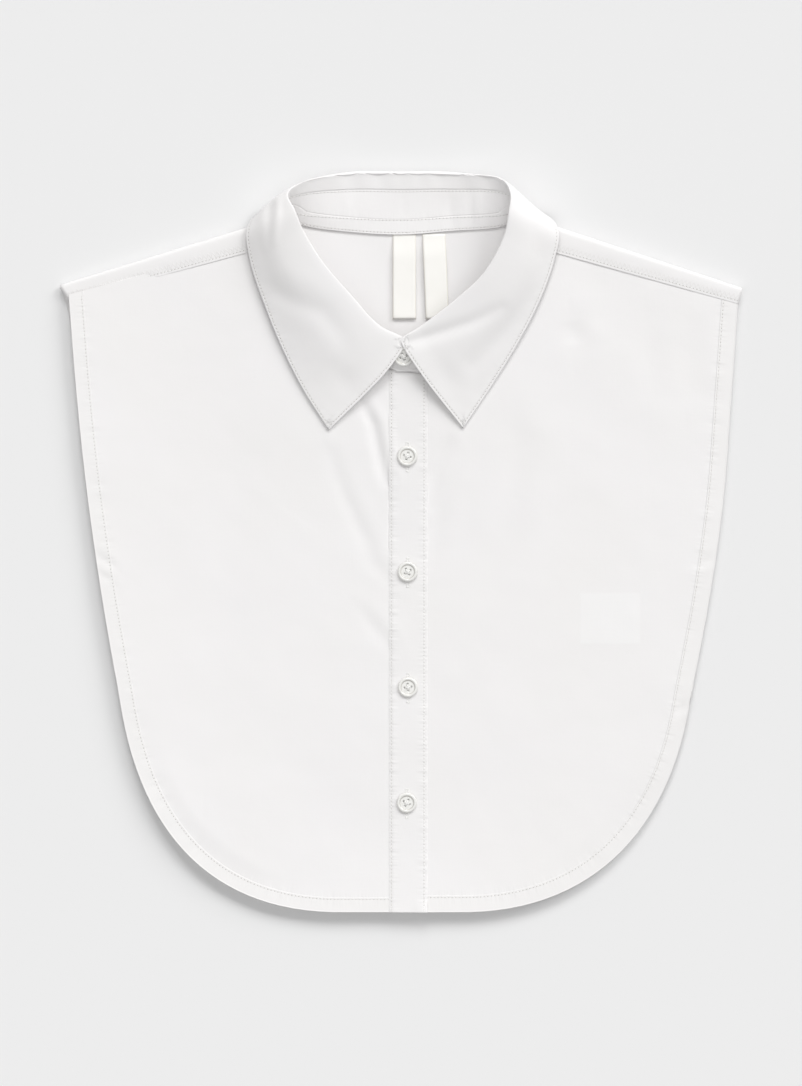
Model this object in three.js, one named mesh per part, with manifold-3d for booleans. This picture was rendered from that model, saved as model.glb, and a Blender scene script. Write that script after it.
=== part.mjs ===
import * as THREE from 'three';
import { mergeVertices } from 'three/addons/utils/BufferGeometryUtils.js';
import Module from 'manifold-3d';

// A detachable shirt collar with a bib, buttoned up and lying face up on a table.
// Millimetres, Z up, Y towards the back of the neck, the wearer's left side at +X.

// Cloth
const cloth = 1;
const clearance = 0.3;
const layer = cloth + clearance;
const seamGap = 0.7;
const foldGap = 3.3;

// Bib
const bibWidth = 392;
const placketLength = 310.8;
const cornerRise = 122;
const hemGap = 1.8;
const bodyLoft = 0.9;
const neckLoft = 1.5;
const backInset = 1.5;

// Shoulder: how far the corners lie below the neck end of the fold, and the strip turned to the front
const leftShoulderDrop = 38.9;
const rightShoulderDrop = 41.1;
const stripAtArm = 9;
const seamAllowance = 3.5;

// Placket
const placketWidth = 22.1;
const placketCentre = 4.15;
const panelUnderlap = 1.4;
const placketBridge = 3;

// Collar
const collarSpread = 180;
const collarDepth = 150;
const collarRise = 12;
const standShare = 0.76;
const foldRadius = 1.6;
const frontMeet = { left: 3, right: -1.2 };

// Buttons
const buttonRadius = 5.75;
const buttonThickness = 2.2;
const rimWidth = 1.6;
const rimDepth = 0.6;
const holeRadius = 0.78;
const holeOffset = 1.75;
const buttonPitch = 66.4;
const firstButton = 48.7;
const neckButtonShare = 0.45;
const neckButtonInset = 2.7;
const buttonInset = 0.4;

// Labels
const labelWidth = 13.4;
const labelLength = 49;
const labelGap = 3.9;
const labelTilt = 0.02;
const labelCentre = 1.9;

// Collar sections from the button to the back of the neck. Across: shares of half the spread.
// Along: shares of the depth, counted from the collar points.
const planColumns = [
  'seamAcross', 'seamAlong', 'rollAcross', 'rollAlong',
  'fallAcross', 'fallAlong', 'edgeAcross', 'edgeAlong',
];
const leftPlan = [
  [-0.022, 0.227, -0.003, 0.353, -0.072, 0.240, -0.462, 0.001],
  [-0.283, 0.307, -0.150, 0.404, -0.300, 0.270, -0.622, 0.153],
  [-0.479, 0.438, -0.330, 0.521, -0.511, 0.403, -0.767, 0.327],
  [-0.641, 0.575, -0.497, 0.637, -0.672, 0.547, -0.884, 0.504],
  [-0.739, 0.707, -0.622, 0.757, -0.794, 0.683, -0.959, 0.643],
  [-0.761, 0.780, -0.678, 0.837, -0.856, 0.793, -0.984, 0.760],
  [-0.728, 0.820, -0.722, 0.902, -0.862, 0.852, -0.939, 0.815],
  [-0.633, 0.790, -0.615, 0.950, -0.640, 0.942, -0.740, 0.845],
  [-0.322, 0.763, -0.333, 0.981, -0.333, 0.988, -0.344, 0.837],
  [0.000, 0.753, 0.000, 0.984, 0.000, 0.990, 0.000, 0.830],
];
const rightPlan = [
  [0.044, 0.227, 0.024, 0.354, 0.133, 0.213, 0.397, 0.009],
  [0.289, 0.307, 0.161, 0.411, 0.328, 0.267, 0.570, 0.163],
  [0.511, 0.430, 0.362, 0.504, 0.539, 0.393, 0.744, 0.333],
  [0.672, 0.557, 0.533, 0.602, 0.706, 0.527, 0.878, 0.490],
  [0.767, 0.700, 0.656, 0.737, 0.822, 0.673, 0.967, 0.635],
  [0.789, 0.783, 0.689, 0.837, 0.872, 0.793, 1.004, 0.757],
  [0.750, 0.823, 0.698, 0.903, 0.838, 0.852, 0.950, 0.815],
  [0.661, 0.787, 0.640, 0.960, 0.668, 0.945, 0.750, 0.848],
  [0.322, 0.767, 0.322, 0.981, 0.322, 0.988, 0.333, 0.837],
];

// Heights of the same sections, shares of the collar's rise. The seam starts on the panel (0), on the
// shoulder strip (1), between strip and back panel, or on the back panel (-1). The edge lies above
// the strip, or from row 6 above the table.
const heightColumns = ['seamOn', 'roll', 'fall', 'edge'];
const heightRows = [
  [0, 0.30, 0.46, -0.13],
  [0, 0.45, 0.42, -0.10],
  [0, 0.62, 0.50, -0.04],
  [0, 0.80, 0.66, 0.00],
  [1, 0.92, 0.74, 0.00],
  [1, 1.00, 0.70, 0.02],
  [-0.4, 0.80, 0.24, 0.30],
  [-1, 0.40, -0.12, 0.05],
  [-1, 0.04, -0.36, 0.01],
  [-1, 0.00, -0.40, 0.00],
];

// Places on the neckline where the shoulder fold and the shoulder seam start, counted in sections
const foldSection = 5.85;
const seamSection = 4.2;

// Sides of the bib from the shoulder down to the rounded corner. Height: share of the height of
// the shoulder corner. Reach: share of half the width.
const sideColumns = ['height', 'left', 'right'];
const sideRows = [
  [0.978, 0.974, 0.989],
  [0.817, 0.950, 0.968],
  [0.658, 0.918, 0.945],
  [0.497, 0.875, 0.903],
];
const cornerReach = { left: 0.824, right: 0.848 };

// Soft folds in the front panels. Ends: shares of half the width and of the placket's length.
// Depth: share of the body loft. Width: share of the placket's width.
const foldColumns = ['fromAcross', 'fromAlong', 'toAcross', 'toAlong', 'depth', 'width'];
const foldRows = [
  [-0.112, 0.940, -0.050, 0.800, 0.9, 0.30],
  [-0.210, 0.845, -0.070, 0.610, 0.8, 0.35],
  [0.320, 0.910, 0.170, 0.490, 0.9, 0.60],
  [0.140, 0.870, 0.080, 0.690, 0.8, 0.40],
  [0.510, 1.080, 0.510, 0.900, 0.5, 0.70],
  [-0.480, 0.800, -0.560, 0.300, 0.5, 0.80],
];

// Steps of each piece's grid, across and along
const frontSteps = { across: 19, along: 25 };
const backSteps = { shoulder: 7, neck: 10, along: 16, fold: 4 };
const standSteps = { round: 44, up: 4, past: 2 };
const leafSteps = { round: 46, up: 10 };
const placketSteps = { across: 2, along: 30 };
const labelSteps = 8;
const buttonSides = 20;
const holeSides = 8;

// Shares that shape the front panel's outline
const neckStart = 0.4;
const hemStart = 0.06;
const armShare = 0.96;

// How far the stand runs past the button at each end, shares of the placket's width
const standPast = { left: 0.62, right: 0.36, taper: 0.12 };

// Colours
const poplin = { color: 0xf3f2f0, roughness: 0.85, metalness: 0 };
const satin = { color: 0xfbf8f1, roughness: 0.6, metalness: 0 };
const shell = { color: 0xf4f2ec, roughness: 0.25, metalness: 0 };

const wasm = await Module();
wasm.setup();

function tableOf(columns, rows) {
  return rows.map((row) => Object.fromEntries(columns.map((name, i) => [name, row[i]])));
}

function smooth(from, to, x) {
  const t = THREE.MathUtils.clamp((x - from) / (to - from), 0, 1);
  return t * t * (3 - 2 * t);
}

// Heights of the stack: back panel, front panel, shoulder strip, collar
const backLevel = cloth / 2;
const hemLevel = backLevel + cloth + hemGap;
const stripLevel = hemLevel + bodyLoft + neckLoft + layer;
const collarLevel = stripLevel + layer;
const tipsY = placketLength - leftPlan[0][1] * collarDepth;
const neckCentreY = tipsY + 0.58 * collarDepth;
const neckRadius = 0.36 * collarSpread;

function foldDepth(x, y) {
  let depth = 0;
  for (const fold of tableOf(foldColumns, foldRows)) {
    const from = new THREE.Vector2(fold.fromAcross * bibWidth / 2, fold.fromAlong * placketLength);
    const to = new THREE.Vector2(fold.toAcross * bibWidth / 2, fold.toAlong * placketLength);
    const along = to.clone().sub(from);
    const point = new THREE.Vector2(x, y).sub(from);
    const t = THREE.MathUtils.clamp(point.dot(along) / along.lengthSq(), 0, 1);
    const away = point.sub(along.multiplyScalar(t)).length() / (fold.width * placketWidth);
    depth += fold.depth * bodyLoft * Math.exp(-away * away) * Math.sin(Math.PI * (0.1 + 0.8 * t));
  }
  return depth;
}

// Middle of the front panel's cloth above the table
function frontHeight(x, y) {
  const reach = Math.abs(x) / (bibWidth / 2);
  const rise = smooth(0, cornerRise, y) * (1 - reach ** 6);
  const fromNeck = Math.hypot(x, y - neckCentreY) / neckRadius;
  const lift = fromNeck < 1 ? 1 : Math.exp(-(((fromNeck - 1) / 0.8) ** 2));
  const plain = hemLevel + bodyLoft * Math.max(rise, 0) + neckLoft * lift;
  const outer = smooth(0.9, 1.25, fromNeck) * Math.max(rise, 0);
  return plain - foldDepth(x, y) * outer;
}

// Collar rails: one curve each through the seams, rolls, falls and edges of all sections
function sectionsOf(plan, side) {
  const heights = tableOf(heightColumns, heightRows);
  return tableOf(planColumns, plan).map((row, i) => {
    const point = (across, along, z) =>
      new THREE.Vector3(across * collarSpread / 2, tipsY + along * collarDepth, z);
    const level = heights[i];
    const seam = point(row.seamAcross, row.seamAlong, 0);
    const onPanel = frontHeight(seam.x, seam.y);
    const seamHeights = { front: onPanel, strip: onPanel + layer, back: backLevel };
    seam.z = level.seamOn >= 0
      ? THREE.MathUtils.lerp(seamHeights.front, seamHeights.strip, level.seamOn)
      : THREE.MathUtils.lerp(seamHeights.strip, seamHeights.back, -level.seamOn);
    if (i === 0 && side === 'left') {
      seam.z += layer;
    }
    const edgeLevel = i < 6 ? collarLevel : backLevel;
    return {
      seam,
      roll: point(row.rollAcross, row.rollAlong, collarLevel + level.roll * collarRise),
      fall: point(row.fallAcross, row.fallAlong, collarLevel + level.fall * collarRise),
      edge: point(row.edgeAcross, row.edgeAlong, edgeLevel + level.edge * collarRise),
    };
  });
}

const leftSections = sectionsOf(leftPlan, 'left');
const rightSections = sectionsOf(rightPlan, 'right');
const ring = [...leftSections, ...rightSections.slice().reverse()];
const lastSection = ring.length - 1;
const rails = {};
for (const name of ['seam', 'roll', 'fall', 'edge']) {
  rails[name] = new THREE.CatmullRomCurve3(ring.map((section) => section[name]));
}

function railPoint(name, station) {
  const p = rails[name].getPoint(THREE.MathUtils.clamp(station / lastSection, 0, 1));
  return p.setZ(Math.max(p.z, backLevel));
}

// A point of a panel's neckline: the seam, moved back from the stand
function necklineAt(station, gap = seamGap) {
  const seam = railPoint('seam', station);
  const away = railPoint('roll', station).sub(seam).setZ(0).normalize();
  return seam.addScaledVector(away, -(cloth / 2 + gap));
}

// Closes an open sheet, given as grids of points that share their borders, into a solid
function solidSheet(grids, thickness) {
  const positions = [];
  const index = [];
  for (const grid of grids) {
    const start = positions.length / 3;
    const columns = grid[0].length;
    for (const row of grid) {
      for (const p of row) {
        positions.push(p.x, p.y, p.z);
      }
    }
    for (let r = 0; r < grid.length - 1; r += 1) {
      for (let c = 0; c < columns - 1; c += 1) {
        const a = start + r * columns + c;
        index.push(a, a + 1, a + columns + 1, a, a + columns + 1, a + columns);
      }
    }
  }
  let open = new THREE.BufferGeometry();
  open.setAttribute('position', new THREE.Float32BufferAttribute(positions, 3));
  open.setIndex(index);
  open = mergeVertices(open, 0.01);
  open.computeVertexNormals();
  const count = open.attributes.position.count;
  const out = [];
  for (const side of [0.5, -0.5]) {
    for (let i = 0; i < count; i += 1) {
      const p = new THREE.Vector3().fromBufferAttribute(open.attributes.position, i);
      const n = new THREE.Vector3().fromBufferAttribute(open.attributes.normal, i);
      p.addScaledVector(n, side * thickness);
      out.push(p.x, p.y, p.z);
    }
  }
  const faces = [];
  const borders = new Map();
  const top = Array.from(open.index.array);
  for (let i = 0; i < top.length; i += 3) {
    const [a, b, c] = top.slice(i, i + 3);
    faces.push(a, b, c, a + count, c + count, b + count);
    for (const [from, to] of [[a, b], [b, c], [c, a]]) {
      if (!borders.delete(`${to} ${from}`)) {
        borders.set(`${from} ${to}`, [from, to]);
      }
    }
  }
  for (const [from, to] of borders.values()) {
    faces.push(from, from + count, to + count, from, to + count, to);
  }
  const solid = new THREE.BufferGeometry();
  solid.setAttribute('position', new THREE.Float32BufferAttribute(out, 3));
  solid.setIndex(faces);
  return solid;
}

// A grid between four border curves that meet at their ends
function coonsGrid(bottom, top, left, right, columns, rows) {
  const grid = [];
  for (let r = 0; r <= rows; r += 1) {
    const v = r / rows;
    const line = [];
    for (let c = 0; c <= columns; c += 1) {
      const u = c / columns;
      const p = new THREE.Vector3();
      p.addScaledVector(bottom(u), 1 - v).addScaledVector(top(u), v);
      p.addScaledVector(left(v), 1 - u).addScaledVector(right(v), u);
      p.addScaledVector(bottom(0), -(1 - u) * (1 - v)).addScaledVector(bottom(1), -u * (1 - v));
      p.addScaledVector(top(0), -(1 - u) * v).addScaledVector(top(1), -u * v);
      line.push(p);
    }
    grid.push(line);
  }
  return grid;
}

// Outline of one side of the bib; side is -1 on the left and 1 on the right
function bibSide(side) {
  const name = side < 0 ? 'left' : 'right';
  const drop = side < 0 ? leftShoulderDrop : rightShoulderDrop;
  const stationOf = (section) => (side < 0 ? section : lastSection - section);
  const foldNeck = railPoint('seam', stationOf(foldSection)).setZ(0);
  foldNeck.x += side * foldGap;
  const seamNeck = necklineAt(stationOf(seamSection), foldGap).setZ(0);
  const corner = new THREE.Vector3(side * bibWidth / 2, foldNeck.y - drop, 0);
  const reach = (share) => side * share * bibWidth / 2;
  const cornerX = reach(cornerReach[name]);
  const straight = new THREE.CatmullRomCurve3([
    new THREE.Vector3(cornerX, cornerRise, 0),
    ...tableOf(sideColumns, sideRows).reverse()
      .map((row) => new THREE.Vector3(reach(row[name]), row.height * corner.y, 0)),
  ]);
  const round = new THREE.CubicBezierCurve3(
    new THREE.Vector3(reach(0.18), 0, 0),
    new THREE.Vector3(reach(0.56), 0, 0),
    new THREE.Vector3(cornerX * 0.93, cornerRise * 0.38, 0),
    new THREE.Vector3(cornerX, cornerRise, 0),
  );
  const seamArm = straight.getPoint(1);
  seamArm.y = corner.y - stripAtArm;
  return { corner, foldNeck, seamNeck, seamArm, straight, round };
}

const sides = { left: bibSide(-1), right: bibSide(1) };

// One front panel: centre front, hem, side, then the shoulder seam and the neckline
function frontPanel(side) {
  const outline = side < 0 ? sides.left : sides.right;
  const placketEdge = placketCentre - placketWidth / 2;
  const inner = side < 0 ? placketEdge + panelUnderlap : placketEdge + panelUnderlap + clearance;
  const firstRow = side < 0 ? 0.13 : 0;
  const lastRow = seamSection - 0.1;
  const neckAt = (row) => {
    const gap = seamGap + 3 * clearance * Math.max(1 - row, 0);
    return necklineAt(side < 0 ? row : lastSection - row, gap).setZ(0);
  };
  const start = neckAt(firstRow).setX(inner);
  const first = neckAt(firstRow);
  const flat = Math.abs(first.x - start.x) / (first.distanceTo(neckAt(lastRow)) * 1.1);
  const allowance = new THREE.Vector3(0, seamAllowance, 0);
  const armEnd = outline.seamArm.clone().add(allowance);
  const neckEnd = outline.seamNeck.clone();
  const top = (u) => {
    if (u < neckStart) {
      const t = u / neckStart;
      if (t < flat) {
        return start.clone().lerp(first, t / flat);
      }
      return neckAt(THREE.MathUtils.mapLinear(t, flat, 1, firstRow, lastRow));
    }
    const t = (u - neckStart) / (1 - neckStart);
    const p = neckEnd.clone().lerp(armEnd, t);
    p.y += seamAllowance * smooth(0, 0.1, t) * (1 - t);
    return p;
  };
  const bottom = (u) => {
    const t = Math.max(u - hemStart, 0) / (1 - hemStart);
    const hem = outline.round.getPoint(t);
    return u < hemStart ? new THREE.Vector3(inner, 0, 0).lerp(hem, u / hemStart) : hem;
  };
  const left = (v) => new THREE.Vector3(inner, 0, 0).lerp(start, v);
  const right = (v) => {
    if (v > armShare) {
      return outline.straight.getPoint(1).lerp(armEnd, (v - armShare) / (1 - armShare));
    }
    return outline.straight.getPoint(v / armShare);
  };
  const grid = coonsGrid(bottom, top, left, right, frontSteps.across, frontSteps.along);
  for (const p of grid.flat()) {
    p.z = frontHeight(p.x, p.y);
  }
  return side < 0 ? grid.map((row) => row.reverse()) : grid;
}

// The back panel: a flat bib that turns over the shoulder and lies on the front as a strip
function backPanel() {
  const columns = 2 * backSteps.shoulder + backSteps.neck;
  const { left, right } = sides;
  const radiusAt = (p) => (frontHeight(p.x, p.y) + layer - backLevel) / 2;
  const foldLine = (outline, t) => outline.foldNeck.clone().lerp(outline.corner, t);
  const inward = (outline, t) => {
    const p = foldLine(outline, t);
    p.y -= radiusAt(p);
    return p.setZ(backLevel);
  };
  const leftShare = backSteps.shoulder / columns;
  const top = (u) => {
    if (u <= leftShare) {
      return inward(left, 1 - u / leftShare);
    }
    if (u >= 1 - leftShare) {
      return inward(right, (u - 1 + leftShare) / leftShare);
    }
    const t = (u - leftShare) / (1 - 2 * leftShare);
    const station = THREE.MathUtils.lerp(foldSection, lastSection - foldSection, t);
    const p = necklineAt(station).setZ(backLevel);
    const ends = inward(left, 0).lerp(inward(right, 0), t);
    return p.lerp(ends, Math.abs(2 * t - 1) ** 12);
  };
  const inset = (p, side) => new THREE.Vector3(p.x - side * backInset, p.y + backInset, backLevel);
  const hemMiddle = new THREE.Vector3(0, backInset, backLevel);
  const bottom = (u) => {
    const side = u < 0.5 ? -1 : 1;
    const t = Math.abs(2 * u - 1);
    const hem = inset((side < 0 ? left : right).round.getPoint(t), side);
    return hemMiddle.clone().lerp(hem, smooth(0, 0.15, t));
  };
  const sideCurve = (outline, side, end) => (v) => {
    const p = inset(outline.straight.getPoint(v), side);
    p.y -= backInset;
    const low = inset(outline.round.getPoint(1), side);
    const line = low.clone().lerp(p, smooth(0, 0.1, v));
    return line.lerp(end, smooth(0.85, 1, v));
  };
  const leftCurve = sideCurve(left, -1, top(0));
  const rightCurve = sideCurve(right, 1, top(1));
  const main = coonsGrid(bottom, top, leftCurve, rightCurve, columns, backSteps.along);
  const grids = [main];
  for (const outline of [left, right]) {
    const strip = [];
    for (let c = 0; c <= backSteps.shoulder; c += 1) {
      const t = c / backSteps.shoulder;
      const fold = foldLine(outline, t);
      const start = inward(outline, t);
      const radius = (fold.y - start.y);
      const seam = outline.seamNeck.clone().lerp(outline.seamArm, t);
      const line = [];
      for (let a = 0; a <= backSteps.fold; a += 1) {
        const turn = Math.PI * (a / backSteps.fold - 0.5);
        line.push(new THREE.Vector3(
          fold.x,
          start.y + radius * Math.cos(turn),
          backLevel + radius + radius * Math.sin(turn),
        ));
      }
      const turned = line[backSteps.fold].clone();
      for (const share of [0.5, 1]) {
        const p = turned.clone().lerp(seam, share);
        p.z = frontHeight(p.x, p.y) + layer;
        line.push(p);
      }
      strip.push(line);
    }
    grids.push(outline === left ? strip : strip.reverse());
  }
  return grids;
}

// The stand runs past the button at both ends, the left end over the right one
function collarStand() {
  const { round: columns, up: rows, past: extra } = standSteps;
  const grid = [];
  for (let c = -extra; c <= columns + extra; c += 1) {
    const station = THREE.MathUtils.clamp(c / columns, 0, 1) * lastSection;
    const seam = railPoint('seam', station);
    const roll = railPoint('roll', station);
    const past = (c < 0 ? -c : Math.max(c - columns, 0)) / extra;
    const reach = (c < 0 ? standPast.left : -standPast.right) * placketWidth;
    const line = [];
    for (let r = 0; r <= rows; r += 1) {
      const share = (r / rows) * standShare * (1 - standPast.taper * past * past);
      const p = seam.clone().lerp(roll, share);
      p.x += reach * past;
      line.push(p);
    }
    grid.push(line);
  }
  return grid;
}

// The leaf starts at the top of the stand, turns over at the roll and falls to its edge
function collarLeaf() {
  const { round: columns, up: rows } = leafSteps;
  const grid = [];
  for (let c = 0; c <= columns; c += 1) {
    const station = (c / columns) * lastSection;
    const seam = railPoint('seam', station);
    const roll = railPoint('roll', station);
    const fall = railPoint('fall', station);
    const edge = railPoint('edge', station);
    const start = seam.clone().lerp(roll, standShare);
    start.addScaledVector(roll.clone().sub(seam).normalize(), clearance);
    const crest = roll.clone().lerp(fall, 0.2);
    crest.z += foldRadius;
    crest.x += frontMeet.left * smooth(1, 0, station);
    crest.x += frontMeet.right * smooth(1, 0, lastSection - station);
    const section = new THREE.CatmullRomCurve3([start, roll, crest, fall, edge], false, 'centripetal');
    const line = [];
    for (let r = 0; r <= rows; r += 1) {
      line.push(section.getPoint(r / rows));
    }
    grid.push(line);
  }
  return grid;
}

// The placket lies on both panels, from the stand to the hem
function placket() {
  const edge = placketCentre - placketWidth / 2;
  const frontY = railPoint('seam', 0).y - cloth / 2 - clearance;
  const grid = [];
  for (let r = 0; r <= placketSteps.along; r += 1) {
    const line = [];
    const up = r / placketSteps.along;
    for (let c = 0; c <= placketSteps.across; c += 1) {
      const across = c / placketSteps.across;
      const x = edge + placketWidth * across;
      const slant = across * up ** 8 * placketWidth * 0.16;
      const y = frontY * up - slant;
      const nearby = [-placketBridge, 0, placketBridge].map((step) => frontHeight(x + step, y));
      const under = Math.max(...nearby);
      line.push(new THREE.Vector3(x, y, under + layer));
    }
    grid.push(line);
  }
  return grid;
}

// Puts a lathe or cylinder geometry in the form that booleans need
function toManifold(geometry) {
  const bare = geometry.clone();
  bare.deleteAttribute('normal');
  bare.deleteAttribute('uv');
  const welded = mergeVertices(bare, 0.001);
  return new wasm.Manifold(new wasm.Mesh({
    numProp: 3,
    vertProperties: new Float32Array(welded.attributes.position.array),
    triVerts: new Uint32Array(welded.index.array),
  }));
}

// A four-hole button: a raised rim round a shallow well
function buttonGeometry() {
  const well = buttonRadius - rimWidth;
  const bevel = rimDepth / 2;
  const profile = [
    [0, 0], [buttonRadius - bevel, 0], [buttonRadius, bevel],
    [buttonRadius, buttonThickness - bevel], [buttonRadius - bevel, buttonThickness],
    [well + bevel, buttonThickness], [well, buttonThickness - rimDepth], [0, buttonThickness - rimDepth],
  ].map(([r, z]) => new THREE.Vector2(r, z));
  const body = new THREE.LatheGeometry(profile, buttonSides).rotateX(Math.PI / 2);
  let button = toManifold(body);
  for (let i = 0; i < 4; i += 1) {
    const angle = Math.PI / 4 + i * Math.PI / 2;
    const drill = new THREE.CylinderGeometry(holeRadius, holeRadius, 4 * buttonThickness, holeSides);
    drill.rotateX(Math.PI / 2);
    drill.translate(holeOffset * Math.cos(angle), holeOffset * Math.sin(angle), 0);
    button = button.subtract(toManifold(drill));
  }
  const cut = button.getMesh();
  const geometry = new THREE.BufferGeometry();
  geometry.setAttribute('position', new THREE.Float32BufferAttribute(cut.vertProperties, 3));
  geometry.setIndex(Array.from(cut.triVerts));
  return geometry;
}

// A label hangs from the back neck seam over the inside of the back panel
function labelGrid(side) {
  const centre = side < 0 ? labelCentre : labelCentre + labelWidth + labelGap;
  const topY = railPoint('seam', lastSection / 2).y - cloth / 2 - clearance;
  const lean = side < 0 ? 0 : -labelTilt;
  const grid = [];
  for (let r = 0; r <= labelSteps; r += 1) {
    const up = r / labelSteps;
    const y = topY - labelLength * (1 - up);
    const line = [];
    for (const across of [-0.5, 0.5]) {
      const lift = 0.25 * layer * Math.sin(Math.PI * up) * (side < 0 ? 1 : 2);
      const x = centre + across * labelWidth + lean * (y - topY);
      line.push(new THREE.Vector3(x, y, backLevel + layer + lift));
    }
    grid.push(line);
  }
  return grid;
}

const collar = new THREE.Group();

function addPiece(name, geometry, finish) {
  geometry.computeVertexNormals();
  const mesh = new THREE.Mesh(geometry, new THREE.MeshStandardMaterial(finish));
  mesh.name = name;
  collar.add(mesh);
  return mesh;
}

addPiece('back_panel', solidSheet(backPanel(), cloth), poplin);
addPiece('front_panel_left', solidSheet([frontPanel(-1)], cloth), poplin);
addPiece('front_panel_right', solidSheet([frontPanel(1)], cloth), poplin);
addPiece('placket', solidSheet([placket()], cloth), poplin);
addPiece('collar_stand', solidSheet([collarStand()], cloth), poplin);
addPiece('collar_leaf', solidSheet([collarLeaf()], cloth), poplin);
addPiece('label_left', solidSheet([labelGrid(-1)], cloth), satin);
addPiece('label_right', solidSheet([labelGrid(1)], cloth), satin);

const buttonShape = buttonGeometry();
const neckButton = addPiece('button_neck', buttonShape.clone(), shell);
const standFoot = railPoint('seam', 0);
const standTop = railPoint('roll', 0);
const standAt = standFoot.clone().lerp(standTop, neckButtonShare);
const standSlope = Math.atan2(standTop.z - standFoot.z, standTop.y - standFoot.y);
const neckButtonZ = standAt.z + cloth / 2 + clearance * 1.5;
neckButton.position.set(placketCentre - neckButtonInset, standAt.y, neckButtonZ);
neckButton.rotation.x = standSlope;
for (let i = 0; i < 4; i += 1) {
  const button = addPiece(`button_${i + 1}`, buttonShape.clone(), shell);
  const y = placketLength - firstButton - i * buttonPitch;
  const z = frontHeight(placketCentre, y) + layer + cloth / 2 + clearance;
  button.position.set(placketCentre - buttonInset, y, z);
}

// The origin is on the table, under the middle of the whole outline
const box = new THREE.Box3().setFromObject(collar);
const middle = box.getCenter(new THREE.Vector3());
collar.position.set(-middle.x, -middle.y, -box.min.z);

export default collar;
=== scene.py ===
import math
import bmesh
import bpy
from mathutils import Matrix, Vector, kdtree
from mathutils import noise as fieldNoise
from mathutils.bvhtree import BVHTree


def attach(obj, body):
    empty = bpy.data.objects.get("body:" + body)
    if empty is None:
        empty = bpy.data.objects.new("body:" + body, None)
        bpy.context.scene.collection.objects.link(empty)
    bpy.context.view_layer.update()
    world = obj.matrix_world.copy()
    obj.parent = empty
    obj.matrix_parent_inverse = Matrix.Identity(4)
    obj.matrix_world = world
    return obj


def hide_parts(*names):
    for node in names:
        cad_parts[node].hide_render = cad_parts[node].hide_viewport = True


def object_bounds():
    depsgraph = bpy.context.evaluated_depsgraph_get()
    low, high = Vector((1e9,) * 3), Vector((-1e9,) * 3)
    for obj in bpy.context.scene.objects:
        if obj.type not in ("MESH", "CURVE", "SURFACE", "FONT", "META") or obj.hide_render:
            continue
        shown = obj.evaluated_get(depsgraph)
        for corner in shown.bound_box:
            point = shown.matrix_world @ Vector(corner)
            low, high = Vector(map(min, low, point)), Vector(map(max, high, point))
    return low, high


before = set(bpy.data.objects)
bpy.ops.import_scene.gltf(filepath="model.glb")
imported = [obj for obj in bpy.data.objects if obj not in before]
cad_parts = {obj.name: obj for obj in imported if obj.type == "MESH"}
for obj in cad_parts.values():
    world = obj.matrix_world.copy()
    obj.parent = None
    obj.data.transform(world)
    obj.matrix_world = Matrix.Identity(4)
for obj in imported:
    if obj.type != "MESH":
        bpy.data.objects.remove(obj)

# A detachable shirt collar with a bib, lying face up. Lengths in the dictionaries are millimetres,
# counted from the middle of the hem: X across, Y towards the back of the neck, Z up.
cadLow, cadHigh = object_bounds()
mm = 0.001
hemY = cadLow.y

# camera: straight above; its picture covers 461 x 624 mm at the level of the bib
camera = dict(height=2.6, fieldHeight=0.6244, centreY=-0.0009, level=0.004)
cameraData = bpy.data.cameras.new("camera")
cameraData.sensor_fit = "VERTICAL"
cameraData.sensor_width = 36
cameraData.sensor_height = 36
cameraData.angle = 2 * math.atan(camera["fieldHeight"] / 2 / (camera["height"] - camera["level"]))
cameraData.dof.use_dof = False
cameraObject = bpy.data.objects.new("camera", cameraData)
cameraObject.location = (0, camera["centreY"], camera["height"])
bpy.context.scene.collection.objects.link(cameraObject)
bpy.context.scene.camera = cameraObject


def smooth(low, high, x):
    t = min(max((x - low) / (high - low), 0), 1)
    return t * t * (3 - 2 * t)


def clamp(x, low, high):
    return min(max(x, low), high)


def toScene(p):        # from millimetres to the frame, in metres
    return Vector((p.x * mm, p.y * mm + hemY, p.z * mm))


def splineAt(points, t):        # a centripetal spline through the points, t from 0 to 1
    last = len(points) - 1
    place = clamp(t, 0, 1) * last
    i = min(int(place), last - 1)
    f = place - i
    p1, p2 = points[i], points[i + 1]
    p0 = points[i - 1] if i > 0 else p1 * 2 - p2
    p3 = points[i + 2] if i + 2 <= last else p2 * 2 - p1
    d0, d1, d2 = [max((b - a).length ** 0.5, 1e-4) for a, b in ((p0, p1), (p1, p2), (p2, p3))]
    t1 = ((p1 - p0) / d0 - (p2 - p0) / (d0 + d1) + (p2 - p1) / d1) * d1
    t2 = ((p2 - p1) / d1 - (p3 - p1) / (d1 + d2) + (p3 - p2) / d2) * d1
    return p1 + t1 * f + (3 * (p2 - p1) - 2 * t1 - t2) * f * f + (2 * (p1 - p2) + t1 + t2) * f ** 3


def bezierAt(a, b, c, d, t):
    s = 1 - t
    return a * s ** 3 + b * (3 * s * s * t) + c * (3 * s * t * t) + d * t ** 3


def evenShares(count, first=0.0, last=0.0):        # 0 to 1 in even steps, with a short step at either end
    low, high = (1 if first else 0), (count - 1 if last else count)
    shares = [first + (1 - first - last) * (i - low) / (high - low) for i in range(low, high + 1)]
    return ([0.0] if first else []) + shares + ([1.0] if last else [])


# the neck and the bib: what all pieces share
garment = dict(
    width=392, placketLength=310.8, placketWidth=22.1, placketCentre=4.15, cornerRise=122,
    backLevel=0.4, hemLevel=3.3, bodyLoft=0.9, neckLoft=1.5, layer=1.3,
    neckSpread=180, neckDepth=150, collarRise=12, standShare=0.76, neckMiddle=0.58, neckReach=0.36,
    frontSections=6, backEdge=0.6,
)
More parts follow.
